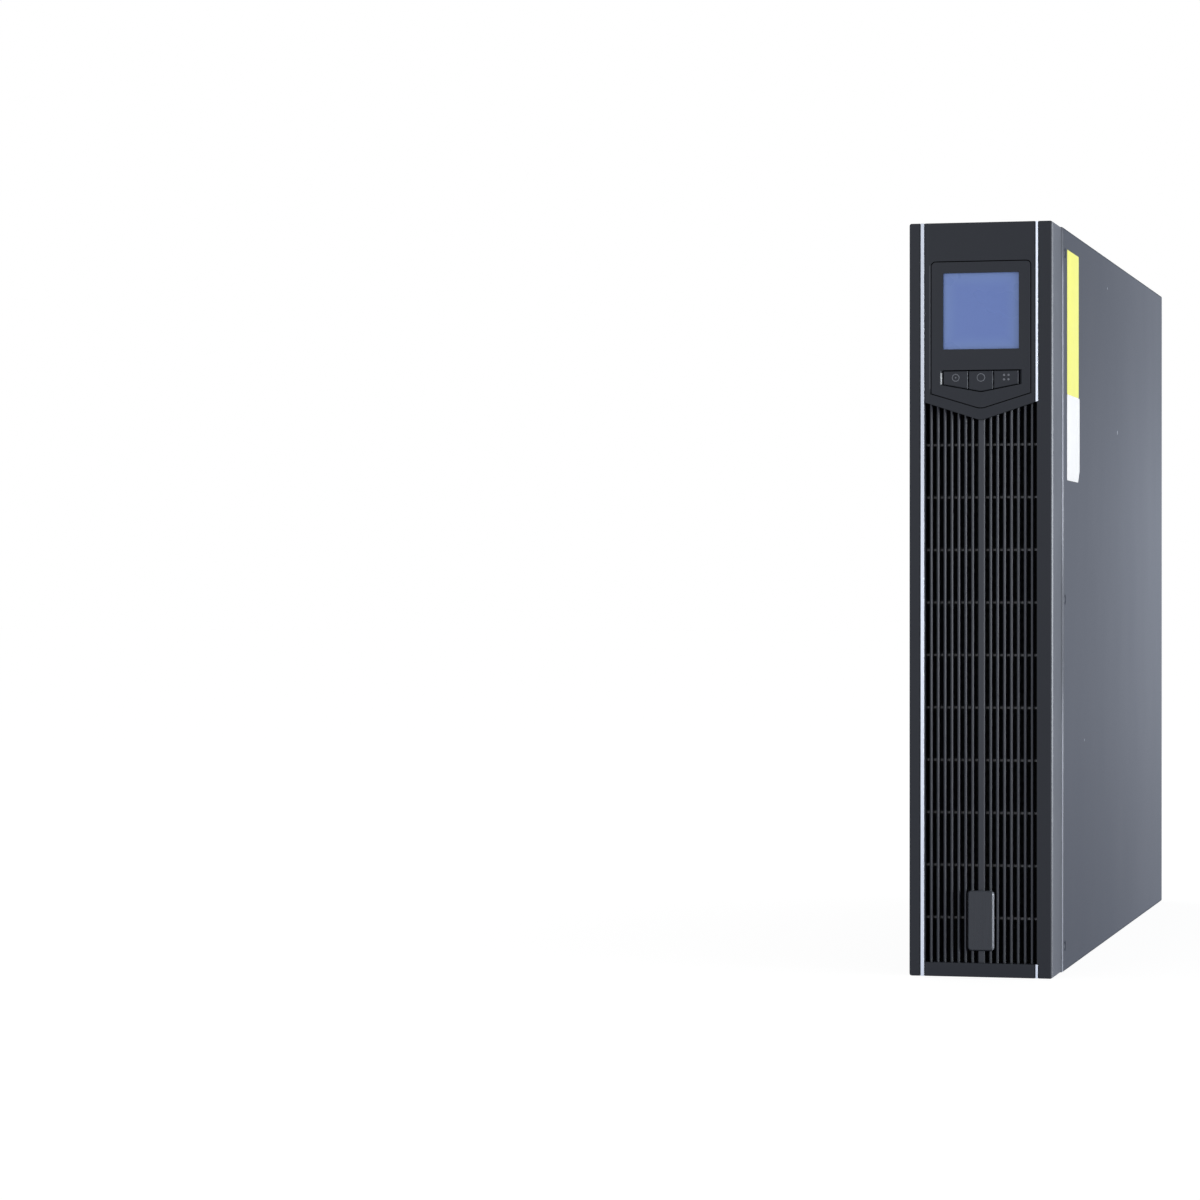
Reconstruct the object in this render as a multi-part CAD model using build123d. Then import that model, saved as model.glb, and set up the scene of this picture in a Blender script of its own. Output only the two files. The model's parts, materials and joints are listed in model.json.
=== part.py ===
from build123d import *
import os

# A two-unit rack/tower uninterruptible power supply that stands on its narrow side.
# X runs to the right across the front, Y from the front to the back, and Z up from the floor.
# Sizes are in millimetres. Depths are counted from the bezel's front face, and drops from the top.

# Case
CASE_WIDTH = 86.0
CASE_HEIGHT = 438.0
CASE_DEPTH = 549.7
SHEET = 1.2
BEND = 1.5
LAP = 14.0
LAP_UNDER = 12.0
FLANGE = 10.0
FIT = 0.2
SEAM = 0.3

# Bezel
BEZEL_DEPTH = 40.0
BEZEL_INSET = 1.0
BEZEL_WALL = 2.5
BEZEL_FACE = 3.0
BEZEL_ROUND = 1.6
LEFT_STILE = 6.8
RIGHT_STILE = 8.75
FOOT_BAR = 8.0
LEFT_TRIM_WIDTH = 2.0
RIGHT_TRIM_WIDTH = 1.3
TRIM_THICK = 2.0
TRIM_GAP = 0.5
PLATE_BORDER = 5.15
PLATE_RISE = 10.7
FOOT_ROUND = 9.0
BACKING = 2.5

# Intake grille
GRILLE_SETBACK = 2.5
GRILLE_DEPTH = 5.0
SLOT_ABOUT = 2.35
BAR = 1.75
CENTRE_BAR = 4.2
BAR_NOSE = 0.6
RAIL = 4.0
RIB_COUNT = 10
RIB_PITCH = 30.6
RIB_FOOT = 33.8
RIB_HEIGHT = 1.2
RIB_DEPTH = 2.5

# Display panel
PANEL_EDGE = 2.55
PANEL_DROP = 22.75
PANEL_BORDER = 5.05
PANEL_RISE = 8.85
PANEL_CORNER = 2.5
PANEL_GROOVE = 0.5
PANEL_INSET = 0.2
PANEL_FLOOR = 3.2
SCREEN_BORDER = 6.75
SCREEN_DROP = 6.45
SCREEN_LIP = 1.6
SCREEN_MARGIN = 1.3
SCREEN_THICK = 4.0

# Keys
KEY_BORDER = 6.9
KEY_DROP = 12.5
KEY_SIDE = 8.0
KEY_RISE = 4.2
KEY_GAP = 0.4
KEY_INSET = 0.4
KEY_THICK = 4.0
KEY_TRAVEL = 1.0
KEY_ROUND = 0.6
KEY_SLOPE = 1.5

# Badge
BADGE_WIDTH = 15.4
BADGE_HEIGHT = 35.0
BADGE_FOOT = 15.1
BADGE_CORNER = 2.2
BADGE_EDGE = 0.8

# Vent behind the grille
VENT_BORDER = 4.2
VENT_HEIGHT = 290.0
VENT_FOOT = 24.0
VENT_LAP = 5.0
SCREEN_SHEET = 0.8

# Rack ear holes in the top and bottom walls
EAR_HOLE = 4.2
EAR_PITCH_X = 40.0
EAR_PITCH_Y = 50.0
EAR_SETBACK = 30.0

# Cover screws along the front of the right-hand side
COVER_SCREW = 3.4
COVER_SCREW_HEAD = 6.6
COVER_SCREW_SETBACK = 6.2
COVER_SCREW_END = 15.0

# Fans
FAN_CLEARANCE = 1.6
FAN_RIM = 2.0
FAN_THICK = 25.0
FAN_EYE_EDGE = 4.25
FAN_HUB = 36.0
HUB_SIDES = 21
FAN_TIP_GAP = 1.2
FAN_BLADES = 7
FAN_BLADE = 1.4
FAN_CAMBER = 3.0
FAN_PITCH_ANGLE = 38.0
FAN_BASE = 4.0
FAN_STRUT = 6.0
GUARD_WIRE = 1.6
GUARD_RINGS = 3
GUARD_SIDES = 16
GUARD_EYE = 7.0

# Card slot
CARD_WIDTH = 66.0
CARD_HEIGHT = 38.0
CARD_LAP = 4.0
CARD_SHEET = 1.5
THUMB_HEAD = 8.0
THUMB_LENGTH = 9.0
THUMB_SIDES = 14
THUMB_EDGE = 0.8
THUMB_MARGIN = 1.2

# Ports
SERIAL_WIDTH = 31.0
SERIAL_FLANGE = 12.5
SERIAL_SHELL = 17.0
SERIAL_SHELL_HEIGHT = 8.4
SERIAL_SLANT = 1.5
SERIAL_WALL = 0.8
SERIAL_REACH = 6.0
USB_WIDTH = 12.0
USB_HEIGHT = 11.0
USB_WALL = 1.6
USB_LENGTH = 14.0
USB_TONGUE = 3.2
EPO_WIDTH = 11.0
EPO_HEIGHT = 9.0
EPO_REACH = 8.0
EPO_EDGE = 0.6
EPO_ENTRY = 2.6
PORT_LIP = 0.6

# Breaker and battery socket
BREAKER_WIDTH = 35.0
BREAKER_HEIGHT = 46.0
BREAKER_REACH = 6.0
BREAKER_NOSE = 20.0
BREAKER_NOSE_REACH = 7.0
BREAKER_SEAM = 0.6
LEVER_MARGIN = 4.5
LEVER_HEIGHT = 8.0
LEVER_REACH = 9.0
SOCKET_WIDTH = 22.0
SOCKET_HEIGHT = 48.0
SOCKET_WALL = 3.0
SOCKET_CORNER = 2.0
SOCKET_REACH = 14.0
CONTACT_WIDTH = 8.0
CONTACT_HEIGHT = 3.0
CONTACT_REACH = 4.0
CONTACTS = 3

# Terminal cover
TERMINAL_MARGIN = 3.6
TERMINAL_HEIGHT = 84.0
TERMINAL_REACH = 30.0
TERMINAL_WALL = 2.0
TERMINAL_ROUND = 4.0
GROMMET = 24.0
GROMMETS = 2
GROMMET_LIFT = 13.0
GROMMET_LIP = 2.0

# Earth stud
STUD = 5.0
STUD_REACH = 14.0
NUT = 8.0
NUT_HEIGHT = 4.0


def spread(low, high, sizes):
    """Centres of fittings in a row between two limits, with equal gaps."""
    gap = (high - low - sum(sizes)) / (len(sizes) + 1)
    centres = []
    edge = low
    for size in sizes:
        centres.append(edge + gap + size / 2)
        edge += gap + size
    return centres


# Places across and along the case
HALF = CASE_WIDTH / 2
INNER_HALF = HALF - SHEET - FIT
BEZEL_HALF = HALF - BEZEL_INSET
INNER_Z = (2 * SHEET + 2 * FIT, CASE_HEIGHT - 2 * SHEET - 2 * FIT)
CASE_FRONT = BEZEL_DEPTH + SEAM
FRONT_PLATE = CASE_FRONT + SHEET + FIT
REAR_FACE = CASE_FRONT + CASE_DEPTH
ORIGIN_DEPTH = (REAR_FACE + TERMINAL_REACH) / 2

# Places on the front
LEFT_TRIM = (-BEZEL_HALF + LEFT_STILE, -BEZEL_HALF + LEFT_STILE + LEFT_TRIM_WIDTH)
RIGHT_TRIM = (BEZEL_HALF - RIGHT_STILE - RIGHT_TRIM_WIDTH, BEZEL_HALF - RIGHT_STILE)
PLATE = (LEFT_TRIM[1] + TRIM_GAP, RIGHT_TRIM[0] - TRIM_GAP)
PANEL_HALF = PLATE[1] - PANEL_EDGE
SCREEN = 2 * (PANEL_HALF - SCREEN_BORDER)
SCREEN_TOP = CASE_HEIGHT - PANEL_DROP - SCREEN_DROP
KEY_BAND = 2 * (PANEL_HALF - KEY_BORDER)
KEY_TOP = SCREEN_TOP - SCREEN - KEY_DROP
KEY_SHOULDER = KEY_TOP - KEY_SIDE
KEY_TIP = KEY_SHOULDER - KEY_RISE
KEY_FRONT = PANEL_INSET + KEY_INSET
KEY_FLOOR = KEY_FRONT + KEY_THICK + KEY_TRAVEL + KEY_GAP
PANEL_SHOULDER = KEY_SHOULDER - PANEL_BORDER
PANEL_TIP = PANEL_SHOULDER - PANEL_RISE
PANEL_BACK = KEY_FLOOR + PANEL_FLOOR
PLATE_SHOULDER = PANEL_SHOULDER - PLATE_BORDER
PLATE_TIP = PLATE_SHOULDER - PLATE_RISE
GRILLE_HALF = -PLATE[0]
BAR_BACK = GRILLE_SETBACK + GRILLE_DEPTH
GRILLE_BACK = BAR_BACK + RIB_DEPTH
PLATE_SLOPE = PLATE_RISE / GRILLE_HALF
SLOT_FIELD = GRILLE_HALF - CENTRE_BAR / 2 + BAR
SLOTS_PER_SIDE = round(SLOT_FIELD / (SLOT_ABOUT + BAR))
SLOT = SLOT_FIELD / SLOTS_PER_SIDE - BAR
VENT_HALF = GRILLE_HALF - VENT_BORDER

# Places on the rear, row by row from the foot up
FAN_SIZE = 2 * (INNER_HALF - FAN_CLEARANCE)
FAN_BORE = FAN_SIZE - 2 * FAN_RIM
FAN_PITCH = FAN_SIZE - 2 * FAN_EYE_EDGE
FAN_BACK = REAR_FACE - SHEET
FAN_FRONT = FAN_BACK - FAN_THICK
TERMINAL_HALF = INNER_HALF - TERMINAL_MARGIN
PORT_ROW = max(SERIAL_FLANGE, USB_HEIGHT, EPO_HEIGHT)
POWER_ROW = max(BREAKER_HEIGHT, SOCKET_HEIGHT)
ROWS = [NUT, TERMINAL_HEIGHT, POWER_ROW, FAN_SIZE, FAN_SIZE, CARD_HEIGHT, PORT_ROW]
STUD_Z, TERMINAL_Z, POWER_Z, FAN_LOWER, FAN_UPPER, CARD_Z, PORT_Z = spread(*INNER_Z, ROWS)
PORTS = [SERIAL_WIDTH, USB_WIDTH, EPO_WIDTH]
SERIAL_X, USB_X, EPO_X = spread(-INNER_HALF, INNER_HALF, PORTS)
BREAKER_X, SOCKET_X = spread(-INNER_HALF, INNER_HALF, [BREAKER_WIDTH, SOCKET_WIDTH])
STUD_X = TERMINAL_HALF - NUT
TERMINAL_BACK = REAR_FACE + TERMINAL_REACH
GROMMET_Z = TERMINAL_Z - TERMINAL_HEIGHT / 2 + GROMMET_LIFT + GROMMET / 2


def block(x, y, z):
    """A box between low and high values on each axis."""
    centre = Pos(sum(x) / 2, sum(y) / 2, sum(z) / 2)
    return centre * Box(x[1] - x[0], y[1] - y[0], z[1] - z[0])


def slab(outline, front, back):
    """An outline of the front elevation, solid from one depth to another."""
    return extrude(Plane.XZ.offset(-back) * outline, back - front)


def shield(left, right, top, point, slope):
    """A panel outline with straight sides and a V-shaped foot, rounded on the centre line."""
    corners = [
        (left, top),
        (left, point - slope * left),
        (0, point),
        (right, point + slope * right),
        (right, top),
    ]
    outline = make_face(Polyline(*corners, close=True))
    return fillet(outline.vertices().sort_by(Axis.Y)[0], FOOT_ROUND)


def rod(x, z, diameter, front, back):
    """A round rod that lies along the depth of the case."""
    return slab(Pos(x, z) * Circle(diameter / 2), front, back)


def plate_outline(left, right, lift=0.0):
    """The display plate's outline between two edges, with its foot raised by lift."""
    return shield(left, right, CASE_HEIGHT, PLATE_TIP + lift, PLATE_SLOPE)


def panel_outline(grow=0.0):
    """The display panel's outline, with rounded upper corners, grown by a gap."""
    top = CASE_HEIGHT - PANEL_DROP
    outline = shield(-PANEL_HALF, PANEL_HALF, top, PANEL_TIP, PANEL_RISE / PANEL_HALF)
    outline = fillet(outline.vertices().group_by(Axis.Y)[-1], PANEL_CORNER)
    return offset(outline, grow, kind=Kind.INTERSECTION) if grow else outline


def key_band():
    """The outline that the three keys fill together."""
    half = KEY_BAND / 2
    return shield(-half, half, KEY_TOP, KEY_TIP, KEY_RISE / half)


def screen_square(size):
    """A square centred on the screen's window."""
    return Pos(0, SCREEN_TOP - SCREEN / 2) * Rectangle(size, size)


def grille_window():
    """The outline of the slotted field, up to the display plate's V."""
    height = PLATE_SHOULDER - FOOT_BAR
    field = Pos(0, FOOT_BAR + height / 2) * Rectangle(2 * GRILLE_HALF, height)
    return field - plate_outline(-GRILLE_HALF, GRILLE_HALF)


def bezel_frame():
    """The moulded front shell: stiles, foot bar, side walls and the seat for the plate."""
    outer = block((-BEZEL_HALF, BEZEL_HALF), (0, BEZEL_DEPTH), (0, CASE_HEIGHT))
    front_edges = outer.edges().filter_by(Axis.Z).group_by(Axis.Y)[0]
    outer = fillet(front_edges + outer.edges().filter_by(Axis.Y), BEZEL_ROUND)
    inner = (-BEZEL_HALF + BEZEL_WALL, BEZEL_HALF - BEZEL_WALL)
    inner_z = (BEZEL_WALL, CASE_HEIGHT - BEZEL_WALL)
    shell = outer - block(inner, (BEZEL_FACE, BEZEL_DEPTH), inner_z)
    seat = slab(plate_outline(*inner, lift=RAIL), BEZEL_FACE, BEZEL_FACE + BACKING)
    seat &= block(inner, (0, BEZEL_DEPTH), inner_z)
    shell += seat
    shell -= slab(plate_outline(LEFT_TRIM[1], RIGHT_TRIM[0]), 0, BEZEL_FACE)
    shell -= slab(grille_window(), 0, BEZEL_FACE)
    shell -= slab(panel_outline(PANEL_GROOVE), 0, BEZEL_DEPTH)
    return shell - [trim_left(TRIM_GAP), trim_right_upper(TRIM_GAP), trim_right_lower(TRIM_GAP)]


def grille_bar(x, width):
    """One upright bar with bevelled front corners, as tall as the case."""
    profile = Pos(x, GRILLE_SETBACK + GRILLE_DEPTH / 2) * Rectangle(width, GRILLE_DEPTH)
    nose = profile.vertices().group_by(Axis.Y)[0]
    profile = chamfer(nose, BAR_NOSE)
    return extrude(profile, CASE_HEIGHT)


def intake_grille():
    """Upright bars on thin cross ribs, in a carrier that clips in behind the bezel's face."""
    seat = BEZEL_FACE + FIT
    foot = BEZEL_WALL + FIT
    rail = (BEZEL_HALF - BEZEL_WALL - GRILLE_HALF) / 2
    top = PLATE_SHOULDER + RAIL - FIT
    field = Pos(0, (top + foot) / 2) * Rectangle(2 * (GRILLE_HALF + rail), top - foot)
    outline = field - plate_outline(-BEZEL_HALF, BEZEL_HALF, RAIL - FIT)
    carrier = slab(outline - grille_window(), seat, GRILLE_BACK)
    bars = [grille_bar(0, CENTRE_BAR)]
    for number in range(SLOTS_PER_SIDE - 1):
        place = CENTRE_BAR / 2 + (number + 1) * SLOT + (number + 0.5) * BAR
        bars += [grille_bar(-place, BAR), grille_bar(place, BAR)]
    ribs = []
    for number in range(RIB_COUNT):
        level = RIB_FOOT + number * RIB_PITCH
        height = (level - RIB_HEIGHT / 2, level + RIB_HEIGHT / 2)
        ribs.append(block((-GRILLE_HALF - rail / 2, GRILLE_HALF + rail / 2), (BAR_BACK, GRILLE_BACK), height))
    reach = slab(outline, 0, GRILLE_BACK)
    noses = slab(outline - grille_window(), 0, seat)
    return carrier.fuse(*bars, *ribs) & (reach + carrier - noses)


def display_plate():
    """The plain plate round the display, with a V-shaped foot over the grille."""
    plate = slab(plate_outline(*PLATE), 0, BEZEL_FACE)
    return plate - slab(panel_outline(PANEL_GROOVE), 0, BEZEL_FACE)


def display_panel():
    """The panel that holds the screen and the keys."""
    body = slab(panel_outline(), PANEL_INSET, PANEL_BACK)
    body -= slab(screen_square(SCREEN), 0, PANEL_BACK)
    pocket = screen_square(SCREEN + 2 * SCREEN_MARGIN)
    body -= slab(pocket, PANEL_INSET + SCREEN_LIP, PANEL_BACK)
    well = offset(key_band(), KEY_GAP, kind=Kind.INTERSECTION)
    body -= slab(well, 0, KEY_FLOOR)
    rim = body.faces().sort_by(Axis.Y)[0].inner_wires().sort_by(Axis.Z)[0]
    return chamfer(rim.edges().filter_by(Axis.Z), KEY_SLOPE)


def lcd_screen():
    """The square liquid-crystal module behind the window's lip."""
    front = PANEL_INSET + SCREEN_LIP
    size = SCREEN + 2 * (SCREEN_MARGIN - FIT)
    return slab(screen_square(size), front, front + SCREEN_THICK)


def key(number):
    """One of the three push keys, counted from the left."""
    width = KEY_BAND / 3
    left = -KEY_BAND / 2 + number * width
    low = left + (KEY_GAP / 2 if number > 0 else 0)
    high = left + width - (KEY_GAP / 2 if number < 2 else 0)
    strip = Pos((low + high) / 2, CASE_HEIGHT / 2) * Rectangle(high - low, CASE_HEIGHT)
    cap = slab(key_band() & strip, KEY_FRONT, KEY_FRONT + KEY_THICK)
    return fillet(cap.faces().sort_by(Axis.Y)[0].edges(), KEY_ROUND)


def badge_plate():
    """The bare badge plate that lies on the grille's bars."""
    outline = Pos(0, BADGE_FOOT + BADGE_HEIGHT / 2)
    outline *= RectangleRounded(BADGE_WIDTH, BADGE_HEIGHT, BADGE_CORNER)
    plate = slab(outline, 0, GRILLE_SETBACK)
    return chamfer(plate.faces().sort_by(Axis.Y)[0].edges(), BADGE_EDGE)


def ear_holes(wall):
    """Four rack ear holes through a top or bottom wall."""
    middle = CASE_FRONT + EAR_SETBACK + EAR_PITCH_Y / 2
    drills = []
    for x in (-EAR_PITCH_X / 2, EAR_PITCH_X / 2):
        for y in (middle - EAR_PITCH_Y / 2, middle + EAR_PITCH_Y / 2):
            drills.append(Pos(x, y, sum(wall) / 2) * Cylinder(EAR_HOLE / 2, 4 * SHEET))
    return drills


def base_pan():
    """The folded steel pan: left side, top and bottom, with joggled laps under the cover."""
    lap_edge = HALF - LAP - FIT
    under = HALF - SHEET - FIT
    profile = Pos(-HALF + SHEET / 2, CASE_HEIGHT / 2) * Rectangle(SHEET, CASE_HEIGHT)
    for outer, inward in ((0, 1), (CASE_HEIGHT, -1)):
        wall = sorted((outer, outer + inward * SHEET))
        joggle = sorted((outer, outer + inward * (2 * SHEET + FIT)))
        flange = sorted((outer + inward * (SHEET + FIT), outer + inward * (2 * SHEET + FIT)))
        spans = [
            ((-HALF, lap_edge), wall),
            ((lap_edge - SHEET, lap_edge), joggle),
            ((lap_edge - SHEET, min(lap_edge + LAP_UNDER, under)), flange),
        ]
        for x, z in spans:
            place = Pos(sum(x) / 2, sum(z) / 2)
            profile += place * Rectangle(x[1] - x[0], z[1] - z[0])
    corners = profile.vertices().group_by(Axis.X)[0]
    profile = fillet(corners, BEND)
    pan = slab(profile, CASE_FRONT, REAR_FACE)
    pan += block((-HALF, -HALF + FLANGE), (CASE_FRONT, CASE_FRONT + SHEET), INNER_Z)
    pan -= fold_cutter(-1)
    for wall in ((0, SHEET), (CASE_HEIGHT - SHEET, CASE_HEIGHT)):
        pan -= ear_holes(wall)
    return pan


def fold_cutter(side):
    """What is cut from the front corner of a side wall to leave its fold rounded."""
    centre = (side * (HALF - BEND), CASE_FRONT + BEND)
    x = sorted((centre[0], side * CASE_WIDTH))
    corner = block(x, (CASE_FRONT - BEND, centre[1]), (0, CASE_HEIGHT))
    return corner - Pos(*centre, CASE_HEIGHT / 2) * Cylinder(BEND, CASE_HEIGHT)


def cover_screw_heights():
    """Heights of the countersunk screws along the cover's front."""
    return (COVER_SCREW_END, CASE_HEIGHT / 2, CASE_HEIGHT - COVER_SCREW_END)


def cover_panel():
    """The right-hand cover, folded over the top and bottom, with a folded front edge."""
    profile = Pos(HALF - SHEET / 2, CASE_HEIGHT / 2) * Rectangle(SHEET, CASE_HEIGHT)
    for z in ((0, SHEET), (CASE_HEIGHT - SHEET, CASE_HEIGHT)):
        profile += Pos(HALF - LAP / 2, sum(z) / 2) * Rectangle(LAP, SHEET)
    profile = fillet(profile.vertices().group_by(Axis.X)[-1], BEND)
    cover = slab(profile, CASE_FRONT, REAR_FACE)
    cover += block((HALF - FLANGE, HALF), (CASE_FRONT, CASE_FRONT + SHEET), INNER_Z)
    cover -= fold_cutter(1)
    sink = (COVER_SCREW_HEAD - COVER_SCREW) / 2
    for height in cover_screw_heights():
        place = Pos(HALF, CASE_FRONT + COVER_SCREW_SETBACK, height) * Rot(0, 90, 0)
        cover -= place * Cylinder(COVER_SCREW / 2, 4 * SHEET)
        cone = Cone(COVER_SCREW / 2, COVER_SCREW_HEAD / 2, sink)
        cover -= place * Pos(0, 0, -sink / 2) * cone
    return cover


def front_plate():
    """The steel front of the case, with the vent window behind the grille."""
    plate = block((-INNER_HALF, INNER_HALF), (FRONT_PLATE, FRONT_PLATE + SHEET), INNER_Z)
    vent_z = (VENT_FOOT, VENT_FOOT + VENT_HEIGHT)
    vent_x = (-VENT_HALF, VENT_HALF)
    return plate - block(vent_x, (FRONT_PLATE, FRONT_PLATE + SHEET), vent_z)


def vent_screen():
    """The thin screen that closes the vent window from behind."""
    front = FRONT_PLATE + SHEET
    half = VENT_HALF + VENT_LAP
    height = (VENT_FOOT - VENT_LAP, VENT_FOOT + VENT_HEIGHT + VENT_LAP)
    return block((-half, half), (front, front + SCREEN_SHEET), height)


def trim_strip(place, z, gap):
    """A silver strip between two heights, or its channel with a gap at each side."""
    return block((place[0] - gap, place[1] + gap), (0, TRIM_THICK), z)


def trim_left(gap=0.0):
    """The full-height silver strip beside the left stile."""
    return trim_strip(LEFT_TRIM, (0, CASE_HEIGHT), gap)


def trim_right_upper(gap=0.0):
    """The silver strip at the right of the display plate."""
    strip = trim_strip(RIGHT_TRIM, (FOOT_BAR, CASE_HEIGHT), gap)
    return strip & slab(plate_outline(-BEZEL_HALF, BEZEL_HALF), 0, TRIM_THICK)


def trim_right_lower(gap=0.0):
    """The short silver strip at the right of the foot bar."""
    return trim_strip(RIGHT_TRIM, (0, FOOT_BAR), gap)


def fan_eyes(height):
    """The four screw places of a fan."""
    half = FAN_PITCH / 2
    return [(x, height + z) for x in (-half, half) for z in (-half, half)]


def rear_panel():
    """The steel back of the case, cut for the fans, ports, card slot and power fittings."""
    depth = (REAR_FACE - SHEET, REAR_FACE)
    panel = block((-INNER_HALF, INNER_HALF), depth, INNER_Z)
    cuts = [rod(0, height, FAN_BORE, *depth) for height in (FAN_UPPER, FAN_LOWER)]
    windows = [
        (0, CARD_Z, CARD_WIDTH - 2 * CARD_LAP, CARD_HEIGHT - 2 * CARD_LAP),
        (SERIAL_X, PORT_Z, SERIAL_SHELL, SERIAL_SHELL_HEIGHT),
        (USB_X, PORT_Z, USB_WIDTH, USB_HEIGHT),
        (EPO_X, PORT_Z, EPO_WIDTH, EPO_HEIGHT),
        (BREAKER_X, POWER_Z, BREAKER_WIDTH, BREAKER_HEIGHT),
        (SOCKET_X, POWER_Z, SOCKET_WIDTH, SOCKET_HEIGHT),
    ]
    for x, z, width, height in windows:
        opening = Pos(x, z) * Rectangle(width + 2 * FIT, height + 2 * FIT)
        cuts.append(slab(opening, *depth))
    cuts.append(rod(STUD_X, STUD_Z, STUD, *depth))
    return panel - cuts


def fan_frame(height):
    """A square fan frame with its bore, motor seat and struts."""
    square = Pos(0, height) * Rectangle(FAN_SIZE, FAN_SIZE)
    frame = slab(square, FAN_FRONT, FAN_BACK) - rod(0, height, FAN_BORE, FAN_FRONT, FAN_BACK)
    spider = Circle(FAN_HUB / 2)
    for turn in (45, 135):
        spider += Rot(0, 0, turn) * Rectangle(FAN_BORE + FAN_RIM, FAN_STRUT)
    return frame + slab(Pos(0, height) * spider, FAN_FRONT, FAN_FRONT + FAN_BASE)


def fan_blade(span):
    """One blade, bent along its middle, that stands out along X from the fan's axis, which is Z."""
    half = span / 2
    tip = FAN_BORE / 2 - FAN_TIP_GAP
    reach = (tip**2 - half**2) ** 0.5
    inner = [(-half, 0), (0, FAN_CAMBER), (half, 0)]
    outer = [(x, y + FAN_BLADE) for x, y in reversed(inner)]
    root = Plane(origin=(FAN_HUB / 4, 0, 0), x_dir=(0, 1, 0), z_dir=(1, 0, 0))
    section = root * Rot(0, 0, FAN_PITCH_ANGLE) * make_face(Polyline(*inner, *outer, close=True))
    return extrude(section, reach - FAN_HUB / 4)


def fan_rotor(height):
    """A fan hub with bent blades, seated on the motor."""
    front = FAN_FRONT + FAN_BASE
    back = FAN_BACK - FAN_BASE
    blade = fan_blade(back - front)
    middle = Pos(0, (front + back) / 2, height) * Rot(90, 0, 0)
    blades = [middle * Rot(0, 0, n * 360 / FAN_BLADES) * blade for n in range(FAN_BLADES)]
    hub = Pos(0, height) * RegularPolygon(FAN_HUB / 2, HUB_SIDES)
    return slab(hub, front, back) + blades


def fan_guard(height):
    """A finger guard of flat rings and two crossed bars that end in screw eyes."""
    guard = RegularPolygon(FAN_HUB / 4, GUARD_SIDES)
    step = (FAN_BORE / 2 - FAN_HUB / 4) / GUARD_RINGS
    for ring in range(GUARD_RINGS):
        radius = FAN_HUB / 4 + (ring + 1) * step
        guard += RegularPolygon(radius, GUARD_SIDES) - RegularPolygon(radius - GUARD_WIRE, GUARD_SIDES)
    for turn in (45, 135):
        guard += Rot(0, 0, turn) * Rectangle(FAN_PITCH * 2**0.5, GUARD_WIRE)
    for x, z in fan_eyes(0):
        guard += Pos(x, z) * RegularPolygon(GUARD_EYE / 2, GUARD_SIDES // 2)
    return slab(Pos(0, height) * guard, REAR_FACE, REAR_FACE + GUARD_WIRE)


def card_slot_cover():
    """The blank plate over the communication card slot."""
    outline = Pos(0, CARD_Z) * Rectangle(CARD_WIDTH, CARD_HEIGHT)
    return slab(outline, REAR_FACE, REAR_FACE + CARD_SHEET)


def card_thumbscrews():
    """Two many-sided thumbscrews that hold the card slot's plate."""
    front = REAR_FACE + CARD_SHEET
    x = CARD_WIDTH / 2 - THUMB_HEAD / 2 - THUMB_MARGIN
    heads = []
    for side in (-1, 1):
        outline = Pos(side * x, CARD_Z) * RegularPolygon(THUMB_HEAD / 2, THUMB_SIDES)
        head = slab(outline, front, front + THUMB_LENGTH)
        heads.append(chamfer(head.faces().sort_by(Axis.Y)[-1].edges(), THUMB_EDGE))
    return Compound(children=heads)


def serial_port():
    """A nine-way port with a D-shaped shell on its flange."""
    centre = Pos(SERIAL_X, PORT_Z)
    flange = slab(centre * Rectangle(SERIAL_WIDTH, SERIAL_FLANGE), REAR_FACE, REAR_FACE + PORT_LIP)
    half = SERIAL_SHELL / 2
    corners = [
        (-half, SERIAL_SHELL_HEIGHT / 2),
        (-half + SERIAL_SLANT, -SERIAL_SHELL_HEIGHT / 2),
        (half - SERIAL_SLANT, -SERIAL_SHELL_HEIGHT / 2),
        (half, SERIAL_SHELL_HEIGHT / 2),
    ]
    shell = make_face(Polyline(*corners, close=True))
    shell = fillet(shell.vertices(), SERIAL_SLANT)
    port = flange + slab(centre * shell, REAR_FACE - SHEET, REAR_FACE + SERIAL_REACH)
    hollow = offset(shell, -SERIAL_WALL)
    return port - slab(centre * hollow, REAR_FACE + PORT_LIP, REAR_FACE + SERIAL_REACH)


def usb_port():
    """A square data port: a metal shell round a tongue."""
    front = REAR_FACE + PORT_LIP - USB_LENGTH
    centre = Pos(USB_X, PORT_Z)
    shell = slab(centre * Rectangle(USB_WIDTH, USB_HEIGHT), front, REAR_FACE + PORT_LIP)
    hollow = centre * Rectangle(USB_WIDTH - 2 * USB_WALL, USB_HEIGHT - 2 * USB_WALL)
    shell -= slab(hollow, front + USB_WALL, REAR_FACE + PORT_LIP)
    tongue = centre * Rectangle(USB_WIDTH - 4 * USB_WALL, USB_TONGUE)
    return shell + slab(tongue, front, REAR_FACE - USB_WALL)


def epo_plug():
    """The plug of the emergency power-off terminals, with its two wire entries."""
    centre = Pos(EPO_X, PORT_Z)
    back = REAR_FACE + EPO_REACH
    plug = slab(centre * Rectangle(EPO_WIDTH, EPO_HEIGHT), REAR_FACE - SHEET, back)
    plug = chamfer(plug.faces().sort_by(Axis.Y)[-1].edges(), EPO_EDGE)
    for side in (-1, 1):
        entry = centre * Pos(side * EPO_WIDTH / 4, 0) * Rectangle(EPO_ENTRY, EPO_ENTRY)
        plug -= slab(entry, REAR_FACE, back)
    return plug


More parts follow.
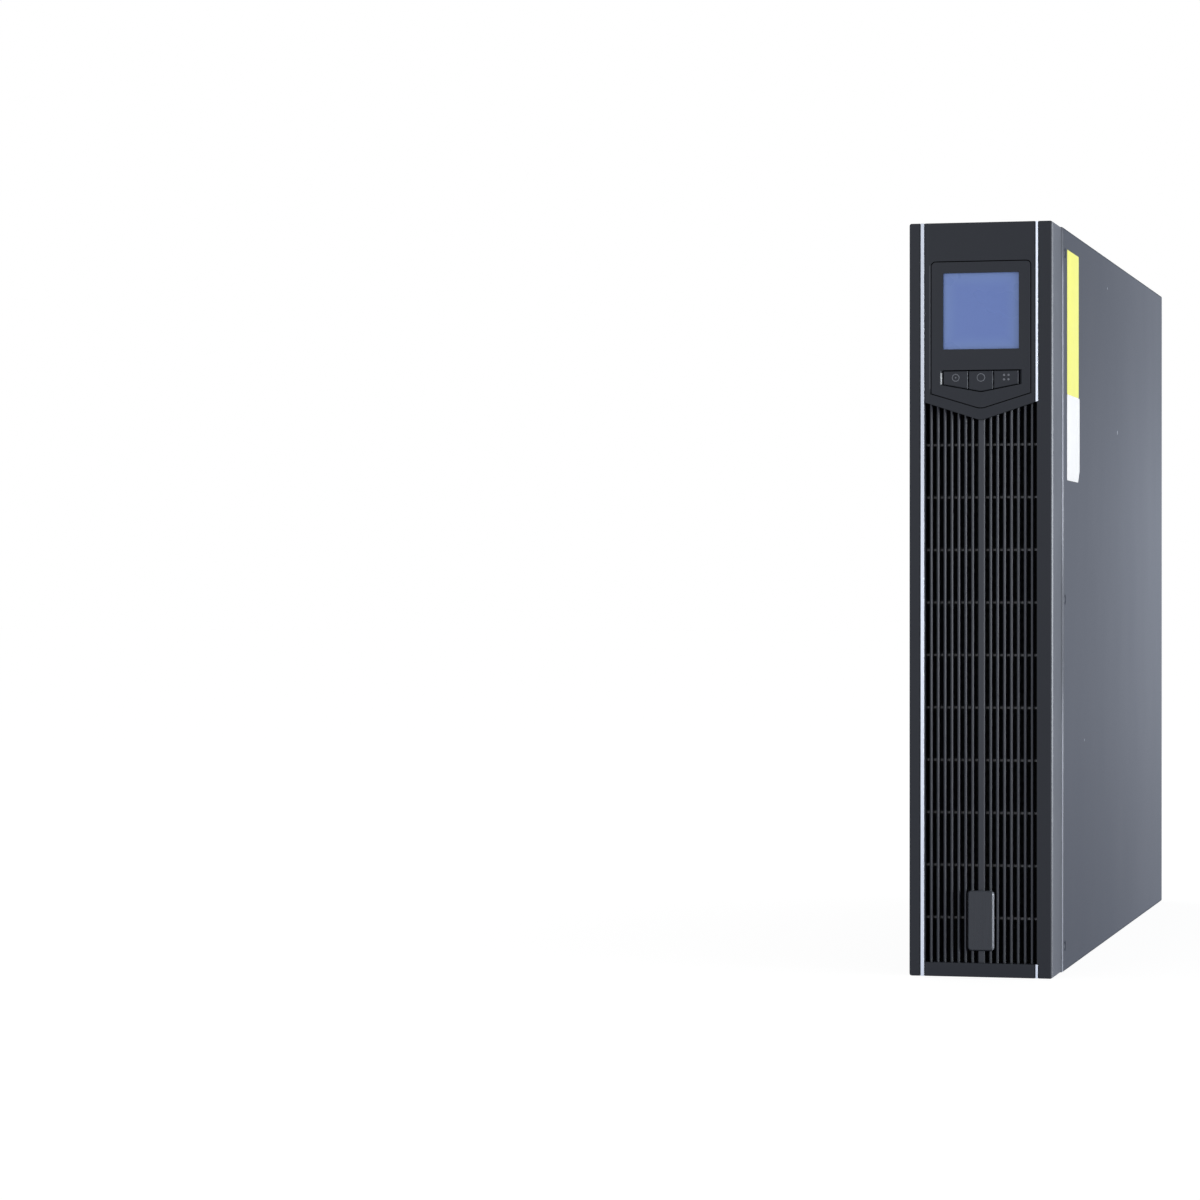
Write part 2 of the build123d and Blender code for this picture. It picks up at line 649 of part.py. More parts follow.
def input_breaker():
    """The two-pole breaker's body, with a raised nose under its lever and a seam between poles."""
    centre = Pos(BREAKER_X, POWER_Z)
    top = REAR_FACE + BREAKER_REACH
    body = slab(centre * Rectangle(BREAKER_WIDTH, BREAKER_HEIGHT), REAR_FACE - SHEET, top)
    nose = centre * Rectangle(BREAKER_WIDTH, BREAKER_NOSE)
    body += slab(nose, top, top + BREAKER_NOSE_REACH)
    seam = centre * Rectangle(BREAKER_SEAM, BREAKER_HEIGHT)
    return body - slab(seam, top - BREAKER_SEAM, top + BREAKER_NOSE_REACH)


def breaker_lever():
    """The lever that joins the breaker's two poles, tilted up as when it is on."""
    root = REAR_FACE + BREAKER_REACH + BREAKER_NOSE_REACH
    half = LEVER_HEIGHT / 2
    corners = [(root, -half), (root, half), (root + LEVER_REACH, 2 * half), (root + LEVER_REACH, half)]
    side = make_face(Polyline(*corners, close=True))
    width = BREAKER_WIDTH - 2 * LEVER_MARGIN
    return Pos(BREAKER_X, 0, POWER_Z) * extrude(Plane.YZ * side, width / 2, both=True)


def battery_socket():
    """The shrouded socket for the external battery pack."""
    centre = Pos(SOCKET_X, POWER_Z)
    front = REAR_FACE - SHEET
    back = REAR_FACE + SOCKET_REACH
    shroud = slab(centre * RectangleRounded(SOCKET_WIDTH, SOCKET_HEIGHT, SOCKET_CORNER), front, back)
    hollow = Rectangle(SOCKET_WIDTH - 2 * SOCKET_WALL, SOCKET_HEIGHT - 2 * SOCKET_WALL)
    return shroud - slab(centre * hollow, front + SOCKET_WALL, back)


def battery_contacts():
    """The flat contacts on the floor of the battery socket."""
    floor = REAR_FACE - SHEET + SOCKET_WALL
    reach = SOCKET_HEIGHT / 2 - SOCKET_WALL
    blades = []
    for height in spread(-reach, reach, [CONTACT_HEIGHT] * CONTACTS):
        outline = Pos(SOCKET_X, POWER_Z + height) * Rectangle(CONTACT_WIDTH, CONTACT_HEIGHT)
        blades.append(slab(outline, floor, floor + CONTACT_REACH))
    return Compound(children=blades)


def grommet_places():
    """Where the cable grommets stand across the terminal cover."""
    reach = TERMINAL_HALF - TERMINAL_WALL
    return spread(-reach, reach, [GROMMET] * GROMMETS)


def terminal_cover():
    """The hollow cover over the input and output terminals."""
    centre = Pos(0, TERMINAL_Z)
    outer = slab(centre * Rectangle(2 * TERMINAL_HALF, TERMINAL_HEIGHT), REAR_FACE, TERMINAL_BACK)
    outer = fillet(outer.edges().filter_by(Axis.Y), TERMINAL_ROUND)
    inner = Rectangle(2 * (TERMINAL_HALF - TERMINAL_WALL), TERMINAL_HEIGHT - 2 * TERMINAL_WALL)
    cover = outer - slab(centre * inner, REAR_FACE, TERMINAL_BACK - TERMINAL_WALL)
    for x in grommet_places():
        cover -= rod(x, GROMMET_Z, GROMMET, TERMINAL_BACK - TERMINAL_WALL, TERMINAL_BACK)
    return cover


def cable_grommets():
    """Closed rubber grommets in the terminal cover's back."""
    front = TERMINAL_BACK - TERMINAL_WALL - GROMMET_LIP
    plugs = [rod(x, GROMMET_Z, GROMMET - 2 * FIT, front, TERMINAL_BACK) for x in grommet_places()]
    return Compound(children=plugs)


def ground_stud():
    """The earth stud with its nut."""
    stud = rod(STUD_X, STUD_Z, STUD - 2 * FIT, REAR_FACE - SHEET, REAR_FACE + STUD_REACH)
    hexagon = Pos(STUD_X, STUD_Z) * RegularPolygon(NUT / 2, 6, major_radius=False)
    return stud + slab(hexagon, REAR_FACE, REAR_FACE + NUT_HEIGHT)


NODES = {
    "bezel_frame": bezel_frame(),
    "intake_grille": intake_grille(),
    "display_plate": display_plate(),
    "display_panel": display_panel(),
    "lcd_screen": lcd_screen(),
    "key_on": key(0),
    "key_off": key(1),
    "key_menu": key(2),
    "trim_left": trim_left(),
    "trim_right_upper": trim_right_upper(),
    "trim_right_lower": trim_right_lower(),
    "badge_plate": badge_plate(),
    "base_pan": base_pan(),
    "cover_panel": cover_panel(),
    "front_plate": front_plate(),
    "vent_screen": vent_screen(),
    "rear_panel": rear_panel(),
    "fan_upper_frame": fan_frame(FAN_UPPER),
    "fan_upper_rotor": fan_rotor(FAN_UPPER),
    "fan_upper_guard": fan_guard(FAN_UPPER),
    "fan_lower_frame": fan_frame(FAN_LOWER),
    "fan_lower_rotor": fan_rotor(FAN_LOWER),
    "fan_lower_guard": fan_guard(FAN_LOWER),
    "card_slot_cover": card_slot_cover(),
    "card_thumbscrews": card_thumbscrews(),
    "serial_port": serial_port(),
    "usb_port": usb_port(),
    "epo_plug": epo_plug(),
    "input_breaker": input_breaker(),
    "breaker_lever": breaker_lever(),
    "battery_socket": battery_socket(),
    "battery_contacts": battery_contacts(),
    "terminal_cover": terminal_cover(),
    "cable_grommets": cable_grommets(),
    "ground_stud": ground_stud(),
}

os.makedirs("parts", exist_ok=True)
for name, shape in NODES.items():
    export_step(Pos(0, -ORIGIN_DEPTH, 0) * shape, f"parts/{name}.step")
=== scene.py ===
import json
import math

import bmesh
import bpy
from mathutils import Matrix, Vector


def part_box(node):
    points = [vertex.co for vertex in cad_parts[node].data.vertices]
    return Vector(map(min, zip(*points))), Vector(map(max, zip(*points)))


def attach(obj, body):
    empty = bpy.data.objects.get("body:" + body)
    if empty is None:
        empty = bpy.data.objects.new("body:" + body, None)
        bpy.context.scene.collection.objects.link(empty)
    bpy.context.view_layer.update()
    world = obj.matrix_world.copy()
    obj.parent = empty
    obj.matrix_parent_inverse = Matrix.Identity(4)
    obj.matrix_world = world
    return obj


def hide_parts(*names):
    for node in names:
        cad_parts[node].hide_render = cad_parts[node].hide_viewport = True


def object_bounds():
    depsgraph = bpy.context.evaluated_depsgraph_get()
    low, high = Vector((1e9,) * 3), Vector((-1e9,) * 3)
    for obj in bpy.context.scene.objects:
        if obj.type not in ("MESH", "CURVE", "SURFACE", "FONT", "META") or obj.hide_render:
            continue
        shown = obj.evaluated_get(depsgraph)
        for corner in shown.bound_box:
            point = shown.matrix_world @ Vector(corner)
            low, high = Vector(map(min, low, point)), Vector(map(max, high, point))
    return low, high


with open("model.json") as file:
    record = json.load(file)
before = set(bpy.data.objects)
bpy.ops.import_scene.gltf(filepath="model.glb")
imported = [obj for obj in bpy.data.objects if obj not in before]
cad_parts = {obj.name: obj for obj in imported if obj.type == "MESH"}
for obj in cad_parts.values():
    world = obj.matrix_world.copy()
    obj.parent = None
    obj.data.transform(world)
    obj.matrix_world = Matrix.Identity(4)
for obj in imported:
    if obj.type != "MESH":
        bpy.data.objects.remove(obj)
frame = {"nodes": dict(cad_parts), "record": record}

cad_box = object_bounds()
mm = 0.001

# Camera, found from the photograph's corner points
EYE = Vector((0.3394, -2.5620, 0.2223))
EYE_PITCH = math.radians(89.913)
EYE_TURN = math.radians(14.136)
LENS = 117.21

# Lamps: place, width and height in metres, radiance, colour
KEY_LAMP = (Vector((2.3, -0.1, 0.30)), 3.6, 0.56, 6.5, (0.88, 0.93, 1.0))
FRONT_LAMP = (Vector((-1.2, -3.0, 0.9)), 1.6, 1.6, 0.8, (1, 1, 1))
BACK_LAMP = (Vector((-1.6, 2.4, 1.4)), 1.6, 1.6, 1.4, (1, 1, 1))
ROOM_GLOW = 0.45
ROOM_COOL = (0.78, 0.85, 1.0, 1)
FLOOR_GLOW = 1.2
FLOOR_COOL = (0.64, 0.70, 0.84, 1)
FLOOR_SHARE = 0.75

# Colours, linear
DUST = (0.42, 0.43, 0.45, 1)
PLASTIC_DARK = (0.0085, 0.0095, 0.0130, 1)
PLASTIC_WORN = (0.0135, 0.0150, 0.0200, 1)
# Painted light: a pale colour for the grille ribs' fronts, which lie in the bars' shade
RIB_PAINTED_LIGHT = (0.16, 0.15, 0.145, 1)
STEEL_DARK = (0.010, 0.0125, 0.020, 1)
STEEL_WORN = (0.016, 0.020, 0.031, 1)
# Painted shade: near-black for the inside faces of the case
STEEL_PAINTED_SHADE = (0.002, 0.002, 0.002, 1)
# Painted highlight: a pale colour for the cover's lit front fold
FOLD_PAINTED_HIGHLIGHT = (0.50, 0.53, 0.60, 1)
# Painted highlight: a pale colour for the badge's right edge
BADGE_PAINTED_HIGHLIGHT = (0.20, 0.21, 0.24, 1)
# Painted shade: a darker silver for the left strip's upper part
SILVER_PAINTED_SHADE = (0.55, 0.56, 0.58, 1)
SILVER_DULL = (0.79, 0.80, 0.82, 1)
SILVER_BRIGHT = (0.86, 0.87, 0.89, 1)
SCREEN_BLUE = (0.172, 0.264, 0.660, 1)
SCREEN_PALE = (0.225, 0.342, 0.715, 1)
STICKER_YELLOW = (0.945, 0.915, 0.17, 1)
STICKER_WHITE = (0.955, 0.94, 0.905, 1)
INK = (0.22, 0.23, 0.26, 1)

# Polish that hands and dusters leave, as a share of a clear gloss
POLISH_IOR = 1.8
POLISH_ROUGH = 0.28
EDGE_POLISH = 1.0
BAR_POLISH = 0.27
SURROUND_POLISH = 0.3
KEY_POLISH = 0.6
BADGE_POLISH = 0.2
FOLD_POLISH = 0.4

# Where polish, wear, painted highlights and painted shade lie, counted from the edge beside them
MASK_SLACK = 0.1 * mm
EDGE_ENDS = 1.5 * mm
EDGE_FULL = 0.9 * mm
EDGE_DEEP = 1.0 * mm
EDGE_DEPTH_ENDS = 1.7 * mm
BAR_POLISH_GAIN = 1.4
SURROUND_WIDE = 1.3 * mm
SURROUND_FOOT = 11 * mm
SURROUND_HEAD = 2 * mm
KEY_EDGE_ENDS = 0.7 * mm
KEY_EDGE_FULL = 0.4 * mm
BADGE_EDGE_ENDS = 1.3 * mm
BADGE_EDGE_FULL = 0.7 * mm
FLANK_WIDE = 0.3 * mm
SHEARED_ENDS = 1.6 * mm
SHEARED_FULL = 0.8 * mm
FOLD_ENDS = 1.6 * mm
FOLD_FULL = 1.0 * mm
FOLD_DEEP = 0.9 * mm
FOLD_DEPTH_ENDS = 1.7 * mm
FOLD_HIGHLIGHT_BAND = 0.2 * mm
FOLD_HIGHLIGHT_BAND_ENDS = 0.6 * mm
SHEET_INSIDE = 1.5 * mm

# Height at which the painted highlight and the polish on the cover's front fold are weakest
FOLD_CALM = 200 * mm

# Directions in which a fitting modelled along +Z looks once it is placed
TO_RIGHT = Matrix.Rotation(math.radians(90), 4, "Y")
TO_BACK = Matrix.Rotation(math.radians(-90), 4, "X")
TO_FRONT = Matrix.Rotation(math.radians(90), 4, "X")

# Fittings on the side cover, with the stickers' edges counted from the front and the top
COVER_SCREW_SETBACK = 6.2 * mm
COVER_SCREW_END = 15 * mm
COVER_SCREW_HEAD = 5.2 * mm
COVER_SCREW_DEPTH = 0.9 * mm
COVER_SCREW_SUNK = 0.55 * mm
STICKER_NEAR = 55.4 * mm
YELLOW_FAR = 109.4 * mm
WHITE_FAR = 113.7 * mm
YELLOW_TOP = 12 * mm
STICKER_SPLIT = 97.5 * mm
WHITE_FOOT = 148.4 * mm
STICKER_THICK = 0.12 * mm
STICKER_CORNER = 1.5 * mm
STICKER_TORN = 7 * mm

# Pale flecks on the side cover: how far behind the front, how far below the top, radius
PALE_FLECKS = [
    (313 * mm, 110 * mm, 1.3 * mm),
    (257 * mm, 19.8 * mm, 0.9 * mm),
    (139 * mm, 305 * mm, 0.8 * mm),
]

# Signs on the keys, and the pale strip beside them that is a painted highlight
SIGN_DROP = 4.0 * mm
ON_RING = 2.0 * mm
OFF_RING = 2.2 * mm
SIGN_LINE = 0.26 * mm
SIGN_RISE = 0.05 * mm
ON_DOT = 0.45 * mm
MENU_DOT = 0.65 * mm
MENU_PITCH = 2.57 * mm
HIGHLIGHT_STRIP = (1.1 * mm, 0.3 * mm, 6.8 * mm)
HIGHLIGHT_STRIP_SETBACK = 1.25 * mm
HIGHLIGHT_STRIP_DROP = 4.4 * mm
HIGHLIGHT_STRIP_SUNK = 0.65 * mm
HIGHLIGHT_STRIP_ROUND = 0.1 * mm

# Perforation of the vent screen, and the filter behind it
HOLE = 4.0 * mm
HOLE_PITCH = 6.0 * mm
TILE_WELD = 0.05 * mm
FILTER_THICK = 3 * mm
FILTER_GAP = 0.3 * mm

# Grille: half its width between the stiles, and the depth of a bar before the cross ribs
GRILLE_REACH = 34 * mm
BAR_DEPTH = 5 * mm

# Fans
GUARD_WIRE = 1.6 * mm
GUARD_RINGS = (9 * mm, 16 * mm, 23 * mm, 30 * mm, 37 * mm)
GUARD_EYE = 3.0 * mm
FAN_EYE_EDGE = 4.25 * mm
ROTOR_HUB = 18 * mm
ROTOR_TIP = 35.4 * mm
ROTOR_BLADES = 7
BLADE_CHORD = 21 * mm
BLADE_THICK = 1.3 * mm

# Screws on the rear
PAN_HEAD = 5.4 * mm
PAN_HEIGHT = 1.9 * mm
PANEL_SCREW_EDGE = 5 * mm
TERMINAL_SCREW_EDGE = 7 * mm
THUMB_HEAD = 8 * mm
THUMB_SLOT = 0.9 * mm
THUMB_SLOT_CUT = 2.4 * mm
KNURL_RIM = 0.12 * mm
KNURL_DEPTH = 0.22 * mm
STUD = 2.3 * mm
STUD_THREAD = 0.8 * mm
STUD_NUT = 8 * mm
STUD_NUT_HEIGHT = 3.6 * mm
STUD_NUT_BEVEL = 0.35 * mm
STUD_NUT_EDGE = 0.15 * mm
STUD_WASHER = 5.2 * mm
STUD_WASHER_THICK = 0.8 * mm

# Ports and power fittings
SERIAL_LIP = 0.6 * mm
SERIAL_INSERT = (15.2 * mm, 6.6 * mm, 4.4 * mm)
SERIAL_ROUND = 0.5 * mm
SERIAL_PIN_PITCH = 2.76 * mm
SERIAL_ROW_PITCH = 2.84 * mm
SERIAL_PIN = 0.58 * mm
SERIAL_POST = 12.2 * mm
POST_WIDTH = 4.8 * mm
POST_HEIGHT = 5 * mm
POST_BEVEL = 0.3 * mm
POST_EDGE = 0.1 * mm
TONGUE = (5.8 * mm, 3.4 * mm, 9 * mm)
TONGUE_SETBACK = 1.5 * mm
TONGUE_ROUND = 0.5 * mm
CONTACT = (1.0 * mm, 0.2 * mm, 6 * mm)
CONTACT_SETBACK = 0.6 * mm
CONTACT_EDGE = 0.06 * mm
EPO_SCREW = 2.3 * mm
EPO_SCREW_HEIGHT = 0.6 * mm
EPO_SCREW_RISE = 2.9 * mm
EPO_SCREW_SPAN = 5.5 * mm
POLE_SPAN = 17.5 * mm
POLE_SCREW_SPAN = 33 * mm
POLE_WELL = 8.4 * mm
POLE_WELL_RISE = 0.8 * mm
POLE_WELL_ROUND = 0.2 * mm
POLE_WELL_DEPTH = 0.6 * mm
BREAKER_REACH = 6 * mm
GROMMET_LIP = 1.4 * mm
GROMMET_STEP = 3 * mm
GROMMET_EDGE = 0.15 * mm


class Wire:
    """An output socket, on which sums, products and comparisons add Math nodes."""

    def __init__(self, finish, socket):
        self.finish = finish
        self.socket = socket

    def maths(self, operation, first, second):
        return self.finish.node("ShaderNodeMath", {"operation": operation}, {0: first, 1: second})

    def __add__(self, other):
        return self.maths("ADD", self, other)

    __radd__ = __add__

    def __sub__(self, other):
        return self.maths("SUBTRACT", self, other)

    def __rsub__(self, other):
        return self.maths("SUBTRACT", other, self)

    def __mul__(self, other):
        return self.maths("MULTIPLY", self, other)

    __rmul__ = __mul__

    def __lt__(self, other):
        return self.maths("LESS_THAN", self, other)

    def __gt__(self, other):
        return self.maths("GREATER_THAN", self, other)

    def most(self, other):
        return self.maths("MAXIMUM", self, other)

    def size(self):
        return self.maths("ABSOLUTE", self, 0.0)


class Finish:
    """A node tree that is filled node by node; as a material, round one Principled shader."""

    def __init__(self, name, fixed=None, owner=None):
        self.material = owner or bpy.data.materials.new(name)
        self.material.use_nodes = True
        self.tree = self.material.node_tree
        self.shader = self.tree.nodes.get("Principled BSDF")
        for socket, value in (fixed or {}).items():
            self.shader.inputs[socket].default_value = value

    def node(self, kind, settings=None, inputs=None, output=0):
        """Adds any node: its settings first, then values or links for its sockets."""
        node = self.tree.nodes.new(kind)
        for name, value in (settings or {}).items():
            setattr(node, name, value)
        for name, value in (inputs or {}).items():
            if isinstance(value, Wire):
                self.tree.links.new(value.socket, node.inputs[name])
            else:
                node.inputs[name].default_value = value
        return Wire(self, node.outputs[output])

    def feed(self, socket, wire):
        """Links a wire to one of the shader's sockets."""
        self.tree.links.new(wire.socket, self.shader.inputs[socket])

    def place(self, stretch=(1, 1, 1)):
        """Object coordinates in metres, with each axis stretched for a drawn-out pattern."""
        here = self.node("ShaderNodeTexCoord", output="Object")
        return self.node("ShaderNodeMapping", {}, {"Vector": here, "Scale": stretch})

    def axis(self, name):
        """One coordinate of the surface, in metres."""
        return self.node("ShaderNodeSeparateXYZ", {}, {"Vector": self.place()}, output=name)

    def noise(self, scale, detail=2.0, stretch=(1, 1, 1)):
        """Soft cloudy values from 0 to 1."""
        inputs = {"Vector": self.place(stretch), "Scale": scale, "Detail": detail}
        return self.node("ShaderNodeTexNoise", {}, inputs)

    def ramp(self, wire, low, high):
        """A value stretched so that low becomes 0 and high becomes 1."""
        inputs = {"Value": wire, "From Min": low, "From Max": high}
        return self.node("ShaderNodeMapRange", {"interpolation_type": "SMOOTHSTEP"}, inputs)

    def specks(self, scale, radius, share):
        """Small round specks in a share of the cells of a Voronoi pattern."""
        inputs = {"Vector": self.place(), "Scale": scale}
        near = self.node("ShaderNodeTexVoronoi", {}, inputs)
        cell = self.node("ShaderNodeTexVoronoi", {}, inputs, output="Color")
        chance = self.node("ShaderNodeSeparateColor", {}, {"Color": cell})
        return (near < radius * scale) * (chance < share)

    def fleck(self, point, radius):
        """One round fleck at a point of the surface."""
        inputs = {0: self.place(), 1: point}
        near = self.node("ShaderNodeVectorMath", {"operation": "DISTANCE"}, inputs, output="Value")
        return near < radius

    def blend(self, mask, first, second):
        """The first colour where the mask is 0 and the second where it is 1."""
        inputs = {0: mask, 6: first, 7: second}
        return self.node("ShaderNodeMix", {"data_type": "RGBA"}, inputs, output=2)

    def relief(self, height, depth, edge=0.25 * mm):
        """Surface relief of a depth in metres, with edges that look rounded."""
        rounded = self.node("ShaderNodeBevel", {"samples": 4}, {"Radius": edge})
        inputs = {"Height": height, "Distance": depth, "Normal": rounded}
        self.feed("Normal", self.node("ShaderNodeBump", {}, inputs))


def bezel_polish(finish):
    """Where the bezel is polished: right front edge, bars of the grille, left of the display panel."""
    x, y, z = (finish.axis(name) for name in "XYZ")
    low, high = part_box("bezel_frame")
    beside = finish.ramp(x, high.x - EDGE_ENDS, high.x - EDGE_FULL)
    behind = finish.ramp(y, low.y + EDGE_DEEP, low.y + EDGE_DEPTH_ENDS)
    upright = 1 - 0.2 * finish.ramp(z, 0.1 * high.z, 0.5 * high.z)
    edge = beside * (1 - behind) * upright * EDGE_POLISH
    foot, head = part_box("intake_grille")
    bars = (x.size() < GRILLE_REACH) * (y > foot.y - MASK_SLACK) * (z > foot.z) * (z < head.z)
    bars = bars * (1 + BAR_POLISH_GAIN * finish.ramp(x, 0, GRILLE_REACH)) * BAR_POLISH
    foot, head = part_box("display_panel")
    surround = (x > foot.x - SURROUND_WIDE) * (x < foot.x) * (y < low.y + EDGE_DEEP)
    surround = surround * (z > foot.z + SURROUND_FOOT) * (z < head.z - SURROUND_HEAD)
    return edge.most(bars).most(surround * SURROUND_POLISH)


def rib_fronts(finish):
    """The front faces of the grille's cross ribs, painted lighter where the bars keep the light off them.
    """
    x, y = finish.axis("X"), finish.axis("Y")
    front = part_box("intake_grille")[0].y + BAR_DEPTH
    return (x.size() < GRILLE_REACH) * (y > front - MASK_SLACK) * (y < front + MASK_SLACK)


def key_polish(finish):
    """Where the keys are polished: their right front edges."""
    x = finish.axis("X")
    edges = []
    for key in ("on", "off", "menu"):
        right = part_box(f"key_{key}")[1].x
        edge = finish.ramp(x, right - KEY_EDGE_ENDS, right - KEY_EDGE_FULL)
        edges.append(edge * (x < right + MASK_SLACK))
    return edges[0].most(edges[1]).most(edges[2]) * KEY_POLISH


def moulded_plastic(name, rough, grain_depth, dust, polish=None, painted_light=None):
    """Black moulded plastic: fine eroded grain, duller patches, specks, polished places, and places
    lightened with painted light.
    """
    finish = Finish(name, {"IOR": 1.44, "Coat Roughness": POLISH_ROUGH, "Coat IOR": POLISH_IOR})
    patches = finish.noise(28, 4)
    grain = finish.noise(2400, 2)
    colour = finish.blend(patches, PLASTIC_DARK, PLASTIC_WORN)
    # Painted light: the masked places, such as the ribs' fronts in the grille's shade, are painted paler
    if painted_light:
        colour = finish.blend(painted_light(finish), colour, RIB_PAINTED_LIGHT)
    finish.feed("Base Color", finish.blend(finish.specks(70, 0.28 * mm, dust), colour, DUST))
    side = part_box("bezel_frame")[1].x
    flank = finish.ramp(finish.axis("X").size(), side - FLANK_WIDE, side)
    finish.feed("Roughness", rough - 0.05 + patches * 0.1 + grain * 0.05 - flank * 0.06)
    if polish:
        finish.feed("Coat Weight", polish(finish))
    finish.relief(grain, grain_depth, 0.35 * mm)
    return finish.material


def powder_coat():
    """Satin powder coat: orange peel, a film that thins to the rear, a painted highlight and polish on the
    front fold, pale flecks, and painted shade on the inside.
    """
    finish = Finish("powder_coat", {"IOR": 1.42, "Coat Roughness": POLISH_ROUGH, "Coat IOR": POLISH_IOR})
    x, y, z = (finish.axis(name) for name in "XYZ")
    peel = finish.noise(900, 2)
    clouds = finish.noise(14, 3, (1, 1, 0.5))
    low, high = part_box("cover_panel")
    front, side, top = cad_box[0].y, cad_box[1].x, cad_box[1].z
    half = top / 2
    from_middle = (z - half).size()
    film = 1 - finish.ramp(y, low.y, high.y)
    ends = finish.ramp(from_middle, 0.1 * top, 0.5 * top)
    sheared = finish.ramp(from_middle, half - SHEARED_ENDS, half - SHEARED_FULL)
    ahead = 1 - finish.ramp(y, low.y + FOLD_DEEP, low.y + FOLD_DEPTH_ENDS)
    beside = finish.ramp(x, side - FOLD_ENDS, side - FOLD_FULL)
    away_from_calm = finish.ramp((z - FOLD_CALM).size(), 0.1 * FOLD_CALM, 0.35 * FOLD_CALM)
    under_top = 1 - finish.ramp(z, 0.92 * top, 0.98 * top)
    # Where the front fold gets its painted highlight and its coat of polish
    highlight_and_polish = ahead * beside * (0.4 + 0.6 * away_from_calm * under_top)
    # Painted shade: the inside faces of the sheet are painted near-black where the case's inside lies in
    # shade
    inside = (x.size() < side - SHEET_INSIDE) * (from_middle < half - SHEET_INSIDE)
    inside = inside * (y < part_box("rear_panel")[0].y + MASK_SLACK)
    flecks = finish.specks(45, 0.3 * mm, 0.03)
    for depth, drop, radius in PALE_FLECKS:
        flecks = flecks.most(finish.fleck((side, front + depth, top - drop), radius))
    # Painted highlight: the fold's forward-facing band is painted pale
    highlight_band = 1 - finish.ramp(y, low.y + FOLD_HIGHLIGHT_BAND, low.y + FOLD_HIGHLIGHT_BAND_ENDS)
    colour = finish.blend(highlight_and_polish * highlight_band, finish.blend(clouds, STEEL_DARK, STEEL_WORN), FOLD_PAINTED_HIGHLIGHT)
    outside = finish.blend(flecks, colour, DUST)
    # The inside faces get the painted shade colour
    finish.feed("Base Color", finish.blend(inside, outside, STEEL_PAINTED_SHADE))
    texture = clouds * 0.05 + peel * 0.05
    finish.feed("Roughness", 0.29 + film * 0.13 + ends * 0.08 + texture + sheared * 0.35 + inside * 0.4)
    finish.feed("Coat Weight", highlight_and_polish * FOLD_POLISH)
    finish.relief(peel, 0.008 * mm, 0.4 * mm)
    return finish.material


def silver_trim():
    """Silver strips, drawn lengthwise; the left one has painted shade, darker towards its top."""
    finish = Finish("silver_trim", {"Metallic": 1.0})
    lines = finish.noise(1500, 2, (1, 1, 0.02))
    colour = finish.blend(lines, SILVER_DULL, SILVER_BRIGHT)
    top = cad_box[1].z
    # Painted shade: the left strip is painted darker towards its top, where it reflects less light
    painted_shade = (finish.axis("X") < 0) * finish.ramp(finish.axis("Z"), 0.4 * top, 0.8 * top)
    finish.feed("Base Color", finish.blend(painted_shade, colour, SILVER_PAINTED_SHADE))
    finish.feed("Roughness", 0.22 + lines * 0.12)
    finish.relief(lines, 0.004 * mm, 0.3 * mm)
    return finish.material


def blue_screen():
    """Blue liquid-crystal glass, paler towards its edges, with a faint dot raster."""
    finish = Finish("blue_screen", {"IOR": 1.5})
    low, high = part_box("lcd_screen")
    middle = (low + high) / 2
    half = (high.x - low.x) / 2
    across = (finish.axis("X") - middle.x).size()
    upright = (finish.axis("Z") - middle.z).size()
    rim = finish.ramp(across.most(upright), 0.55 * half, 0.98 * half)
    clouds = finish.noise(45, 2)
    pale = rim * 0.75 + clouds * 0.3
    finish.feed("Base Color", finish.blend(pale, SCREEN_BLUE, SCREEN_PALE))
    finish.feed("Roughness", 0.24 + clouds * 0.08)
    inputs = {"Vector": finish.place(), "Scale": 2700, "Randomness": 0.0}
    raster = finish.node("ShaderNodeTexVoronoi", {"distance": "CHEBYCHEV"}, inputs)
    finish.relief(raster, 0.003 * mm, 0.05 * mm)
    return finish.material


def satin_badge():
    """Black plate with hairline scratches and a polished right edge that carries a painted highlight."""
    finish = Finish("satin_badge", {"IOR": 1.5, "Coat Roughness": 0.25, "Coat IOR": POLISH_IOR})
    hairs = finish.noise(420, 3, (1, 1, 0.08))
    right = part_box("badge_plate")[1].x
    edge = finish.ramp(finish.axis("X"), right - BADGE_EDGE_ENDS, right - BADGE_EDGE_FULL)
    colour = finish.blend(hairs, PLASTIC_DARK, PLASTIC_WORN)
    # Painted highlight: the badge's right edge is painted pale
    finish.feed("Base Color", finish.blend(edge, colour, BADGE_PAINTED_HIGHLIGHT))
    finish.feed("Roughness", 0.22 + hairs * 0.12)
    finish.feed("Coat Weight", BADGE_POLISH + edge * (1 - BADGE_POLISH))
    finish.relief(hairs, 0.003 * mm, 0.3 * mm)
    return finish.material


def plated_steel(name, base, rough):
    """Plated metal with the cloudy bloom of its bath."""
    finish = Finish(name, {"Metallic": 1.0})
    bloom = finish.noise(260, 4)
    shade = tuple(0.72 * part for part in base[:3]) + (1,)
    finish.feed("Base Color", finish.blend(bloom, shade, base))
    finish.feed("Roughness", rough - 0.06 + bloom * 0.14)
    finish.relief(bloom, 0.01 * mm)
    return finish.material


def plain_plastic(name, base, rough):
    """Coloured plastic with a faint grain and handling marks."""
    finish = Finish(name, {"IOR": 1.46})
    marks = finish.noise(90, 4)
    grain = finish.noise(1800, 2)
    shade = tuple(0.8 * part for part in base[:3]) + (1,)
    finish.feed("Base Color", finish.blend(marks, shade, base))
    finish.feed("Roughness", rough - 0.04 + marks * 0.1)
    finish.relief(grain, 0.02 * mm)
    return finish.material


